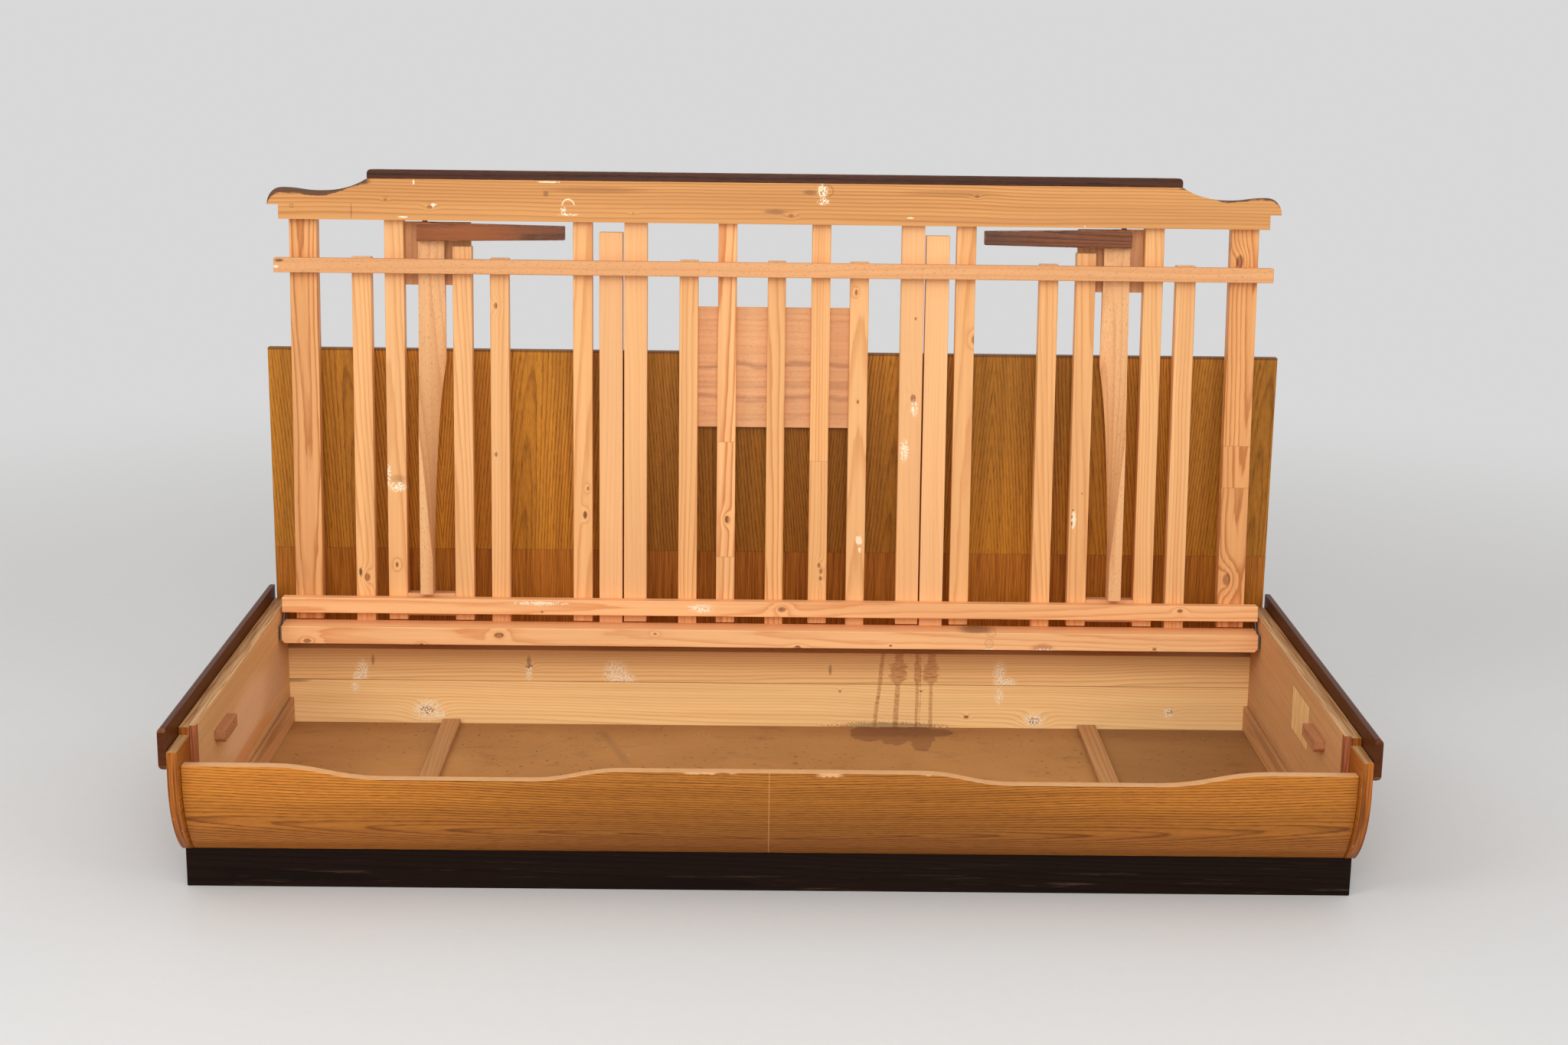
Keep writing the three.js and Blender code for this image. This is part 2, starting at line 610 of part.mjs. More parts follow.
// Section of the arm at height v, in x (inwards) and z (forwards) about its axis.
// The cross rail runs along the arm as the arm turns, so at each height the blank
// is cut back to the plane of the rail for the turns it has while the rail is there.
function armSection(v) {
  const turnAt = edge => THREE.MathUtils.clamp((edge - v) / travel, 0, 1) * Math.PI / 2;
  const turns = [turnAt(crossRailFrom), turnAt(crossRailTo)];
  const top = v > crossRailTo + 1 ? armHead : armFront;
  const xLimit = z => Math.min(armIn, ...turns.map(
    turn => (armClearance - z * Math.cos(turn)) / Math.sin(turn + 1e-9)));
  const zLimit = x => Math.min(top, ...turns.map(
    turn => (armClearance - x * Math.sin(turn)) / Math.max(Math.cos(turn), 1e-9)));
  const step = 0.5;
  const inner = zLimit(armIn) > step - armRear
    ? [armIn, zLimit(armIn)] : [xLimit(step - armRear), step - armRear];
  const outer = xLimit(top) > step - armOut
    ? [xLimit(top), top] : [step - armOut, zLimit(step - armOut)];
  return [
    [armChamfer - armOut, -armRear], [xLimit(-armRear), -armRear], inner, outer,
    [-armOut, zLimit(-armOut)], [-armOut, armChamfer - armRear],
  ];
}

// Solid through a row of sections with the same number of corners
function loft(sections) {
  const corners = sections[0].ring.length;
  const positions = sections.flatMap(({ v, ring }) => ring.flatMap(([x, z]) => [x, v, z]));
  const faces = [];
  const last = (sections.length - 1) * corners;
  for (let i = 0; i < sections.length - 1; i += 1) {
    for (let k = 0; k < corners; k += 1) {
      const low = i * corners + k;
      const lowNext = i * corners + ((k + 1) % corners);
      faces.push(low, low + corners, lowNext + corners, low, lowNext + corners, lowNext);
    }
  }
  for (let k = 1; k < corners - 1; k += 1) {
    faces.push(0, k, k + 1, last, last + k + 1, last + k);
  }
  const geometry = new THREE.BufferGeometry();
  geometry.setAttribute('position', new THREE.Float32BufferAttribute(positions, 3));
  geometry.setIndex(faces);
  return geometry;
}

function spigot(from, to) {
  const geometry = new THREE.CylinderGeometry(spigotRadius, spigotRadius, to - from, 24);
  return geometry.translate(0, (from + to) / 2, 0);
}

// Arm between the two blocks, twisted where the cross rail passes it
function armGeometry() {
  const coverFrom = crossRailFrom - travel;
  const twistSteps = 36;
  const heights = [armFrom];
  for (let i = 0; i <= twistSteps; i += 1) {
    heights.push(coverFrom + ((crossRailTo - coverFrom) * i) / twistSteps);
  }
  heights.push(crossRailTo + headRun, armTo);
  const body = loft(heights.map(v => ({ v, ring: armSection(v) })));
  const overlap = 5;
  const lower = spigot(blockTo - spigotLength + spigotEndGap, armFrom + overlap);
  const upper = spigot(armTo - overlap, frontRailFrom + spigotLength - spigotEndGap);
  return join(join(body, lower), upper);
}

// Tapered leg, flat against the arm's head, long enough to reach the floor when swung down
function legGeometry() {
  const outline = new THREE.Shape();
  const middle = (legFrom + armTo) / 2;
  outline.moveTo(-armOut, legFrom);
  outline.lineTo(legReach, middle - legTipWidth / 2);
  outline.lineTo(legReach, middle + legTipWidth / 2);
  outline.lineTo(-armOut, armTo);
  return plate(outline, [armHead + gap, armHead + gap + legThickness]);
}

function addLegs(parent) {
  const arm = armGeometry();
  const leg = legGeometry();
  for (const side of ['left', 'right']) {
    const pivot = new THREE.Group();
    const facing = side === 'left' ? geometry => geometry : mirrored;
    pivot.position.set(side === 'left' ? -armX : armX, 0, -armAxisDepth);
    add(pivot, `leg_arm_${side}`, facing(arm), beech);
    add(pivot, `leg_${side}`, facing(leg), walnut);
    parent.add(pivot);
  }
}

const sofaBed = new THREE.Group();
addPlinth(sofaBed);
addFrontPanel(sofaBed);
addSides(sofaBed);
addFittings(sofaBed);
addBack(sofaBed);

// Raised back, its hinge pins in the linings: local X, v and w
const raisedBack = new THREE.Group();
raisedBack.rotation.x = Math.PI / 2 - lean;
const pinOffset = new THREE.Vector3(0, -pivotBelowDatum, -pivotRise).applyEuler(raisedBack.rotation);
raisedBack.position.set(0, pivotDepth, pivotHeight).sub(pinOffset);
addHingedFrame(raisedBack);
addSlidingFrame(raisedBack);
addLegs(raisedBack);
sofaBed.add(raisedBack);

// Origin on the floor under the middle of the whole
const extent = new THREE.Box3().setFromObject(sofaBed, true);
sofaBed.position.set(-(extent.min.x + extent.max.x) / 2, -(extent.min.y + extent.max.y) / 2, -extent.min.z);

export default sofaBed;
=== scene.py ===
"""Sofa bed with its slatted back raised: finishes, marks of use, screws, floor, lamps, camera."""
import json
import math
import random

import bmesh
import bpy
from mathutils import Matrix, Vector


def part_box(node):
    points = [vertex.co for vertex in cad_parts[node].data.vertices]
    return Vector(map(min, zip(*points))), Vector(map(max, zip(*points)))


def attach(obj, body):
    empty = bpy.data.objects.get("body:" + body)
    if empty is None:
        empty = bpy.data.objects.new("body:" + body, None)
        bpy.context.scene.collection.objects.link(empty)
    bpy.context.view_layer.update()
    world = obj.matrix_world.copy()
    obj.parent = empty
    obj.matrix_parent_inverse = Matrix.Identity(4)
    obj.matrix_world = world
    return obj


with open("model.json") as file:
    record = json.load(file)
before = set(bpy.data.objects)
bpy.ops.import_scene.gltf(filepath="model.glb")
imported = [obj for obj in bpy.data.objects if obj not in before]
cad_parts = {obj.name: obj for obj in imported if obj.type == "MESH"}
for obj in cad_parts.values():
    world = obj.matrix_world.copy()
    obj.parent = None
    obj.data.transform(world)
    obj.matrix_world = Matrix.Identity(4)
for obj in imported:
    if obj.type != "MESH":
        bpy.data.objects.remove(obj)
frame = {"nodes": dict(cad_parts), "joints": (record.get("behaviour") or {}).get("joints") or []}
SCENE = bpy.context.scene
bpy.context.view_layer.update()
NODES = frame["nodes"]
JOINTS = {joint["name"]: joint for joint in frame["joints"]}

# Directions: right, back and up, then those of the raised back, up along it and out of its front
X, Y, Z = Vector((1, 0, 0)), Vector((0, 1, 0)), Vector((0, 0, 1))
UP_BACK = Vector(JOINTS["pull_out"]["axis"]).normalized()
OUT_FRONT = X.cross(UP_BACK)
HINGE = Vector((0, 0.3773098, 0.274))

# A sheet is the way that a board faces: its two directions as they are seen, the one
# through it, and the point that places on it are measured from
SHEETS = {
    "back": (X, UP_BACK, OUT_FRONT, HINGE),
    "front": (X, Z, Y, Vector()),
    "side": (Y, Z, X, Vector()),
    "flat": (X, Y, Z, Vector()),
}

# Camera, worked out from the straight edges in the photograph
SENSOR = 36.0
IMAGE_WIDTH = 2048
FOCAL_PIXELS = 3155
CAMERA_PLACE = Vector((-0.0207, -4.2037, 1.566))
CAMERA_YAW = 0.00973
CAMERA_PITCH = -0.2372
CAMERA_ROLL = 0.01246
CAMERA_FAR = 400


def rgb(red, green, blue):
    """Screen colour, 0 to 255, as light."""
    return tuple(c / 12.92 if c <= 0.04045 else ((c + 0.055) / 1.055) ** 2.4
                 for c in (red / 255, green / 255, blue / 255))


# Colours of what lies on the wood or has gone into it
PLASTER = rgb(255, 240, 206)
DIRT = rgb(92, 56, 34)
STAIN = rgb(78, 48, 36)
KNOT_PALE, KNOT_DARK = rgb(168, 104, 60), rgb(98, 54, 30)


# Node graphs
class Graph:
    """A material's node tree. Every method takes and returns sockets or plain values."""

    def __init__(self, name, sheet="front"):
        self.material = bpy.data.materials.new(name)
        self.material.use_nodes = True
        self.tree = self.material.node_tree
        self.tree.nodes.clear()
        coordinates = self.node("ShaderNodeTexCoord")
        self.place, self.normal = coordinates.outputs["Object"], coordinates.outputs["Normal"]
        self.axes = SHEETS[sheet][:3]
        start = SHEETS[sheet][3]
        self.level, self.up, self.deep = (self.along(axis, start.dot(axis)) for axis in self.axes)

    def node(self, kind, inputs=(), **settings):
        made = self.tree.nodes.new(kind)
        for key, value in settings.items():
            setattr(made, key, value)
        for key, value in dict(inputs).items():
            self.put(made.inputs[key], value)
        return made

    def put(self, socket, value):
        if isinstance(value, bpy.types.NodeSocket):
            self.tree.links.new(value, socket)
        else:
            socket.default_value = value

    def math(self, operation, a, b=0.0, clamp=False):
        made = self.node("ShaderNodeMath", {0: a, 1: b}, operation=operation, use_clamp=clamp)
        return made.outputs[0]

    def add(self, a, b):
        return self.math("ADD", a, b)

    def sub(self, a, b):
        return self.math("SUBTRACT", a, b)

    def mul(self, a, b, clamp=False):
        return self.math("MULTIPLY", a, b, clamp)

    def most(self, a, b):
        return self.math("MAXIMUM", a, b)

    def absolute(self, value):
        return self.math("ABSOLUTE", value)

    def length(self, a, b):
        return self.math("SQRT", self.add(self.mul(a, a), self.mul(b, b)))

    def dot(self, vector, axis):
        made = self.node("ShaderNodeVectorMath", {0: vector, 1: axis}, operation="DOT_PRODUCT")
        return made.outputs["Value"]

    def along(self, axis, start=0.0):
        """Distance along an axis from where start lies on it."""
        return self.sub(self.dot(self.place, axis), start)

    def facing(self, axis):
        """How far the surface looks along an axis, 1 straight on."""
        return self.dot(self.normal, axis)

    def eased(self):
        """1 on the eased edges of a board, 0 on its faces."""
        most = 0.0
        for axis in self.axes:
            most = self.most(most, self.absolute(self.facing(axis)))
        return self.below(most, 0.93, 0.985)

    def vector(self, x, y, z):
        return self.node("ShaderNodeCombineXYZ", {"X": x, "Y": y, "Z": z}).outputs[0]

    def scaled(self, vector, scale, offset=(0, 0, 0)):
        made = self.node("ShaderNodeMapping", {
            "Vector": vector, "Scale": scale, "Location": offset})
        return made.outputs[0]

    def noise(self, vector, detail=2.0, roughness=0.5):
        made = self.node("ShaderNodeTexNoise", {
            "Vector": vector, "Scale": 1.0, "Detail": detail, "Roughness": roughness})
        return made.outputs[0]

    def local(self, scale, detail=2.0, roughness=0.5):
        """Noise with so many periods to the metre along X, Y and Z."""
        return self.noise(self.scaled(self.place, scale), detail, roughness)

    def grit(self, scale, detail=2.0):
        """Noise with no direction, so many periods to the metre."""
        return self.local((scale, scale, scale), detail, 0.6)

    def ramp(self, factor, *stops):
        made = self.node("ShaderNodeValToRGB", {"Fac": factor})
        elements = made.color_ramp.elements
        while len(elements) < len(stops):
            elements.new(0.5)
        for element, (place, value) in zip(elements, stops):
            element.position = place
            element.color = (value, value, value, 1)
        return made.outputs["Color"]

    def step(self, value, low, high):
        """0 below low, 1 above high, with a soft step between."""
        made = self.node("ShaderNodeMapRange", {
            "Value": value, "From Min": low, "From Max": high}, interpolation_type="SMOOTHSTEP")
        return made.outputs["Result"]

    def below(self, value, low, high):
        """1 below low, 0 above high."""
        return self.sub(1, self.step(value, low, high))

    def band(self, value, low, high, soft):
        """1 between low and high."""
        return self.mul(self.step(value, low - soft, low + soft),
                        self.below(value, high - soft, high + soft))

    def oval(self, level, up, wide, tall, soft=0.3, ragged=0.0):
        """1 inside an oval on the board's face, 0 outside, ragged if wanted."""
        reach = self.length(self.mul(self.sub(self.level, level), 1 / wide),
                            self.mul(self.sub(self.up, up), 1 / tall))
        if ragged:
            reach = self.add(reach, self.mul(self.sub(self.grit(260), 0.5), ragged))
        return self.below(reach, 1 - soft, 1 + soft)

    def ring(self, level, up, wide, tall, line, soft, ragged=0.0, hollow=1.0):
        """The outline of an oval, line wide, with its inside taken out."""
        inner = self.oval(level, up, wide - line, tall - line, soft, ragged)
        outer = self.oval(level, up, wide, tall, soft, ragged)
        return self.mul(outer, self.sub(1, self.mul(inner, hollow)))

    def box(self, left, right, low, high, soft):
        return self.mul(self.band(self.level, left, right, soft),
                        self.band(self.up, low, high, soft))

    def mix(self, factor, a, b, blend="MIX"):
        made = self.node("ShaderNodeMix", data_type="RGBA", blend_type=blend)
        for socket, value in ((made.inputs[0], factor), (made.inputs[6], a), (made.inputs[7], b)):
            plain = isinstance(value, (bpy.types.NodeSocket, int, float))
            self.put(socket, value if plain else (*value, 1))
        return made.outputs[2]

    def lay(self, color, mask, amount, tone):
        """Lays a tone over the colour where the mask is 1, by an amount."""
        return self.mix(self.mul(mask, amount), color, tone)

    def streaks(self, scale, one, other, span=(0.3, 0.7), detail=3, roughness=0.6):
        """Two tones in streaks, the first where the noise lies under the span."""
        return self.mix(self.step(self.local(scale, detail, roughness), *span), one, other)

    def shade(self, color, factor):
        return self.mix(1.0, color, self.vector(factor, factor, factor), "MULTIPLY")

    def plaster(self, color, *spots):
        """White plaster caught in the wood, as crumbs inside ovals."""
        crumbs = self.step(self.grit(300, 3), 0.46, 0.52)
        for spot in spots:
            color = self.lay(color, self.oval(*spot, 0.4, 1.1), crumbs, PLASTER)
        return color

    def chips(self, color, *spots):
        """Pale solid patches with a ragged outline."""
        for spot in spots:
            color = self.lay(color, self.oval(*spot, 0.2, 1.2), 0.85, PLASTER)
        return color

    def dirt(self, color, *spots, amount=0.6):
        """Soft dark spots."""
        for spot in spots:
            color = self.lay(color, self.oval(*spot, 0.5, 0.7), amount, DIRT)
        return color

    def finish(self, color, roughness, height=None, depth=0.0, metallic=0.0, gloss=0.4):
        shader = self.node("ShaderNodeBsdfPrincipled", {
            "Base Color": color, "Roughness": roughness, "Metallic": metallic,
            "Specular IOR Level": gloss})
        if height is not None:
            bump = self.node("ShaderNodeBump", {
                "Height": height, "Distance": depth, "Strength": 1.0})
            self.put(shader.inputs["Normal"], bump.outputs[0])
        output = self.node("ShaderNodeOutputMaterial")
        self.put(output.inputs["Surface"], shader.outputs[0])
        return self.material


# Kinds of wood
PINE = dict(light=rgb(243, 184, 121), dark=rgb(216, 144, 83), ring=0.0042, contrast=0.6)
BEECH = dict(light=rgb(243, 182, 126), dark=rgb(228, 158, 98), ring=0.006, contrast=0.5,
             flecks=0.55)
OAK = dict(light=rgb(190, 116, 30), dark=rgb(126, 66, 6), ring=0.0046, contrast=0.55,
           pores=0.6, veneer=True, roughness=0.42, gloss=0.2, tone=0.16, mottle=0.34)
HARDWOOD = dict(light=rgb(198, 136, 92), dark=rgb(148, 90, 56), ring=0.003, contrast=0.5,
                pores=0.45)
# Dark stain: its eased edges are lightened, for wear and for a painted highlight along them
STAINED = dict(light=rgb(76, 38, 20), dark=rgb(40, 18, 9), ring=0.004, contrast=0.6,
               pores=0.5, roughness=0.33, gloss=0.12, edge_wear_and_highlight=(rgb(150, 100, 66), 0.5))
PLINTH = dict(light=rgb(30, 15, 8), dark=rgb(15, 7, 4), ring=0.006, contrast=0.6,
              pores=0.5, roughness=0.45, gloss=0.08, edge_wear_and_highlight=(rgb(90, 58, 38), 0.35))


# A piece beyond a finger joint: its grain from further along the tree, its rings and its tone
PIECE_ALONG, PIECE_RINGS, PIECE_TONE = 3.7, 0.37, 0.035
WOOD_BUMP = 0.00012


def wood(node, sheet, upright, light, dark, ring=0.005, pith=None, drift=0.02, contrast=0.6,
         wave=1.0, roughness=0.52, gloss=0.3, knots=(), pores=0.0, flecks=0.0, mottle=0.0,
         tone=0.12, veneer=False, seams=None, joints=(), edge_wear_and_highlight=None, marks=None):
    """A board's growth rings, fibres, pores and knots.

    The board is cut beside the pith of its tree: pith is where that lies from the board's
    middle, across and behind its face, and drift how far it wanders per metre. Veneer
    follows the face. seams are the start and width of its mirrored leaves and, on an upright
    board, where their pith lies. knots are (level, up, radius) on the sheet, joints the
    places along the grain where another piece begins. wear is the colour and the amount on
    eased edges: worn edges together with a painted highlight. marks changes the colour.
    """
    dice = random.Random(node)
    graph = Graph(node, sheet)
    low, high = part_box(node)
    middle = [((low + high) / 2 - SHEETS[sheet][3]).dot(axis) for axis in graph.axes]
    along, across, through = graph.level, graph.up, graph.sub(graph.deep, middle[2])
    center = middle[1]
    if upright:
        along, across, center = graph.up, graph.level, middle[0]
    if seams:
        leaf = graph.sub(across if upright else along, seams[0])
        leaf = graph.math("PINGPONG", leaf, seams[1])
        if upright:
            across, center = leaf, seams[2]
        else:
            along = leaf
    if veneer:
        through = 0.0
    if pith is None:
        pith = (dice.uniform(-0.05, 0.05), dice.uniform(0.03, 0.08))
    shift = [dice.uniform(-9, 9) for _ in range(3)]
    slope = [dice.choice((-1, 1)) * dice.uniform(0.4, 1) * drift for _ in range(2)]
    level_tone = 1 + dice.uniform(-0.05, 0.04)
    warm = dice.uniform(-0.5, 0.5)

    part = 0.0
    for joint in joints:
        part = graph.add(part, graph.step(along, joint - 0.0003, joint + 0.0003))
    place = graph.vector(graph.add(along, graph.mul(part, PIECE_ALONG)), across, through)

    def grain(scale, detail, roughness=0.5):
        return graph.noise(graph.scaled(place, scale, shift), detail, roughness)

    bend = grain((2.2, 9, 9), 1)
    ripple = grain((14, 120, 120), 2)
    side = graph.sub(across, graph.add(center + pith[0], graph.mul(along, slope[0])))
    side = graph.add(side, graph.mul(graph.sub(bend, 0.5), 0.022 * wave))
    behind = graph.add(through, graph.add(pith[1], graph.mul(along, slope[1])))
    rings = graph.mul(graph.length(side, behind), 1 / ring)
    rings = graph.add(rings, graph.mul(ripple, 0.35 * wave))
    rings = graph.add(rings, graph.mul(part, PIECE_RINGS))

    heart = None
    for level, up, radius in knots:
        at, beside = (up, level) if upright else (level, up)
        reach = graph.length(graph.mul(graph.sub(along, at), 0.6), graph.sub(across, beside))
        near = graph.math("EXPONENT", graph.mul(graph.mul(reach, reach), -0.5 / radius ** 2))
        rings = graph.add(rings, graph.mul(near, 1.1 * radius / ring))
        edge = graph.add(reach, graph.mul(graph.sub(ripple, 0.5), 0.8 * radius))
        spot = graph.below(edge, 0.45 * radius, 0.75 * radius)
        heart = spot if heart is None else graph.most(heart, spot)

    late = graph.ramp(graph.math("FRACT", rings),
                      (0, 0.25), (0.1, 0.0), (0.55, 0.12), (0.86, 0.9), (0.94, 1.0), (1, 0.25))
    fibre = grain((14, 620, 620), 2, 0.6)
    cloud = grain((1.6, 14, 14), 1)
    streak = grain((1.2, 90, 90), 1)
    amount = graph.mul(graph.mul(late, contrast), graph.add(0.35, graph.mul(cloud, 1.3)),
                       clamp=True)
    amount = graph.add(amount, graph.mul(graph.sub(streak, 0.42), 0.9))
    color = graph.mix(graph.math("MAXIMUM", amount, 0.0, clamp=True), light, dark)
    bright = graph.add(level_tone * (1 - tone), graph.mul(cloud, 2 * tone * level_tone))
    bright = graph.mul(bright, graph.add(0.93, graph.mul(fibre, 0.14)))
    bright = graph.mul(bright, graph.add(1, graph.mul(part, PIECE_TONE)))
    tint = graph.vector(bright, graph.mul(bright, 1 - 0.03 * warm),
                        graph.mul(bright, 1 - 0.09 * warm))
    color = graph.mix(1.0, color, tint, "MULTIPLY")
    height = graph.add(graph.mul(late, 0.3), fibre)
    if pores:
        dash = grain((38, 560, 560), 2, 0.6)
        pore = graph.mul(graph.step(dash, 0.53, 0.63), graph.add(0.35, graph.mul(late, 0.65)))
        color = graph.lay(color, pore, pores, tuple(0.42 * c for c in dark))
        height = graph.sub(height, pore)
    if mottle:
        dapple = grain((75, 420, 420), 2, 0.6)
        color = graph.shade(color, graph.add(1 - 0.5 * mottle, graph.mul(dapple, mottle)))
    if flecks:
        dash = grain((170, 620, 620), 1)
        color = graph.lay(color, graph.step(dash, 0.62, 0.7), flecks, tuple(0.55 * c for c in dark))
    for joint in joints:
        seam = graph.band(along, joint - 0.0005, joint + 0.0005, 0.0004)
        color = graph.lay(color, seam, 0.35, DIRT)
    if heart is not None:
        core = graph.shade(graph.mix(late, KNOT_PALE, KNOT_DARK),
                           graph.add(0.75, graph.mul(ripple, 0.5)))
        color = graph.lay(color, heart, 0.85, core)
    if marks:
        color = marks(graph, color)
    # Eased edges made lighter: wear, together with a painted highlight along them
    if edge_wear_and_highlight:
        rubbed_and_highlit = graph.mul(graph.eased(), graph.step(graph.grit(45, 3), 0.42, 0.62))
        color = graph.lay(color, rubbed_and_highlit, edge_wear_and_highlight[1], edge_wear_and_highlight[0])
    rough = graph.add(roughness - 0.07, graph.mul(fibre, 0.14))
    return graph.finish(color, rough, height, WOOD_BUMP, gloss=gloss)


# CAD meshes: points this close are one, faces this close in slope are one, edges sharper than
# this are eased, and by how much on boards, caps, pegs and steel
WELD_DISTANCE, FLAT_SLOPE, EASED_SLOPE = 0.00002, math.radians(0.4), math.radians(32)
EASE, CAP_EASE, PEG_EASE, STEEL_EASE = 0.0015, 0.0045, 0.001, 0.0004


def dress(node, material, bevel=EASE):
    """Gives a CAD node its material, eased edges and smooth curved faces."""
    piece = NODES[node]
    mesh = piece.data
    mesh.materials.clear()
    mesh.materials.append(material)
    for name in ("custom_normal", "sharp_edge", "sharp_face"):
        if name in mesh.attributes:
            mesh.attributes.remove(mesh.attributes[name])
    mesh.polygons.foreach_set("use_smooth", [True] * len(mesh.polygons))
    weld = piece.modifiers.new("Weld", "WELD")
    weld.merge_threshold = WELD_DISTANCE
    flat = piece.modifiers.new("Flat faces", "DECIMATE")
    flat.decimate_type = "DISSOLVE"
    flat.angle_limit = FLAT_SLOPE
    ease = piece.modifiers.new("Eased edges", "BEVEL")
    ease.width = bevel
    ease.segments = 2
    ease.limit_method = "ANGLE"
    ease.angle_limit = EASED_SLOPE
    ease.miter_outer = "MITER_ARC"
    ease.use_clamp_overlap = True
    piece.modifiers.new("Normals", "WEIGHTED_NORMAL").keep_sharp = True


def board(node, sheet, upright, kind, bevel=EASE, **changes):
    dress(node, wood(node, sheet, upright, **{**kind, **changes}), bevel)


# Raised back: slats, each from its own board
def plaster_marks(*spots):
    return lambda graph, color: graph.plaster(color, *spots)


def chip_marks(*spots):
    return lambda graph, color: graph.chips(color, *spots)


def dirt_marks(*spots, amount=0.6):
    return lambda graph, color: graph.dirt(color, *spots, amount=amount)


def all_marks(*steps):
    def marks(graph, color):
        for step in steps:
            color = step(graph, color)
        return color
    return marks


# Knots (across, up, radius) and marks of the slats, measured from the hinge pins' height
SLATS = {
    "hinged_slat_outer_left": dict(
        knots=((-0.789, 0.068, 0.008),),
        marks=dirt_marks((-0.802, 0.078, 0.003, 0.008), amount=0.9)),
    "sliding_slat_outer_left": dict(
        knots=((-0.731, 0.093, 0.006),),
        marks=all_marks(dirt_marks((-0.726, 0.262, 0.014, 0.008), (-0.720, 0.250, 0.008, 0.006),
                                   amount=0.3),
                        plaster_marks((-0.727, 0.247, 0.017, 0.009), (-0.745, 0.27, 0.004, 0.02)))),
    "hinged_slat_middle_left": dict(
        knots=((-0.536, 0.312, 0.004), (-0.535, 0.600, 0.006))),
    "sliding_slat_middle_left": dict(
        knots=((-0.363, 0.195, 0.006), (-0.358, 0.247, 0.004))),
    "sliding_slat_inner_left": dict(
        joints=(0.115, 0.341), knots=((-0.088, 0.189, 0.006),), contrast=0.9,
        dark=rgb(206, 128, 72)),
    "sliding_slat_inner_right": dict(
        joints=(0.305,),
        knots=((0.093, 0.100, 0.005), (0.097, 0.088, 0.005), (0.096, 0.074, 0.005))),
    "hinged_slat_inner_right": dict(
        knots=((0.164, 0.422, 0.003), (0.158, 0.633, 0.005)),
        marks=chip_marks((0.170, 0.150, 0.006, 0.009), (0.172, 0.131, 0.003, 0.005))),
    "sliding_slat_wide_right": dict(
        knots=((0.271, 0.430, 0.008), (0.273, 0.584, 0.003)),
        marks=plaster_marks((0.274, 0.410, 0.006, 0.014), (0.256, 0.328, 0.008, 0.02))),
    "sliding_slat_middle_right": dict(knots=((0.388, 0.545, 0.008), (0.328, 0.552, 0.004))),
    "sliding_slat_cut_right": dict(
        marks=all_marks(chip_marks((0.589, 0.195, 0.0042, 0.018)),
                        dirt_marks((0.5858, 0.201, 0.0013, 0.0035), (0.5858, 0.188, 0.0015, 0.0045),
                                   (0.5875, 0.214, 0.0013, 0.002), (0.604, 0.247, 0.001, 0.002),
                                   amount=0.85))),
    "sliding_slat_end_right": dict(
        joints=(0.261, 0.343), knots=((0.893, 0.080, 0.013), (0.893, 0.699, 0.012))),
    "hinged_slat_centre": dict(contrast=0.85),
}
WIDE_TONES = dict(light=rgb(243, 185, 126), dark=rgb(231, 167, 107), contrast=0.35)
END_TONES = dict(light=rgb(230, 164, 102), dark=rgb(188, 116, 58), ring=0.0062, contrast=1.0,
                 wave=1.5, pith=(0.008, 0.02), drift=0.03)
for node in sorted(NODES):
    if "_slat_" not in node:
        continue
    kind = PINE
    if "wide" in node or "long" in node:
        kind = {**PINE, **WIDE_TONES}
    if "_end_" in node:
        kind = {**PINE, **END_TONES}
    board(node, "back", True, {**kind, **SLATS.get(node, {})})


# Rails of the raised back
def cross_rail_marks(graph, color):
    color = graph.dirt(color, (-0.944, 0.684, 0.008, 0.003), amount=0.8)
    ends = graph.step(graph.absolute(graph.facing(X)), 0.5, 0.8)
    color = graph.lay(color, ends, 0.5, rgb(150, 96, 62))
    return graph.chips(color, (-0.95, 0.672, 0.004, 0.002))


def sliding_rail_marks(graph, color):
    color = graph.plaster(color, (-0.134, 0.017, 0.022, 0.008), (-0.45, 0.024, 0.05, 0.004))
    color = graph.chips(color, (-0.447, 0.0245, 0.024, 0.0016), (-0.15, 0.02, 0.012, 0.0014))
    return graph.dirt(color, (-0.446, 0.007, 0.0025, 0.0025), (0.02, 0.017, 0.002, 0.002))


RAIL_TONES = dict(light=rgb(255, 196, 136), dark=rgb(232, 154, 94), ring=0.006, wave=1.4,
                  drift=0.025, contrast=0.8, pith=(0.01, 0.03))
board("cross_rail", "back", False, BEECH, light=rgb(234, 172, 117), dark=rgb(220, 152, 96),
      drift=0.006, marks=cross_rail_marks)


def rear_rail_marks(graph, color):
    """Pale round knots, a torn reddish place with plaster in it, old dirt."""
    for level, up, radius in ((0.426, -0.044, 0.009), (0.43, -0.022, 0.01)):
        shape = graph.ring(level, up, radius, radius, 0.2 * radius, 0.12, 0.15, hollow=0.7)
        color = graph.lay(color, shape, 0.38, rgb(186, 116, 72))
    torn = graph.oval(0.531, -0.052, 0.02, 0.008, 0.5, 1.2)
    color = graph.lay(color, torn, 0.6, rgb(182, 104, 66))
    color = graph.plaster(color, (0.531, -0.056, 0.02, 0.003), (0.426, -0.057, 0.012, 0.003))
    return graph.dirt(color, (0.4, -0.02, 0.03, 0.004))


board("rear_rail", "back", False, {**PINE, **RAIL_TONES}, marks=rear_rail_marks,
      knots=((-0.901, -0.051, 0.008), (-0.528, -0.037, 0.008), (-0.679, -0.056, 0.004),
             (-0.225, -0.031, 0.004), (0.749, -0.052, 0.005), (0.053, -0.055, 0.006),
             (0.234, -0.050, 0.003)))
board("sliding_rail", "back", False, {**PINE, **RAIL_TONES}, marks=sliding_rail_marks,
      light=rgb(252, 190, 130), knots=((0.021, 0.017, 0.009), (0.799, 0.022, 0.006)))
BAND_TONE = rgb(150, 92, 66)


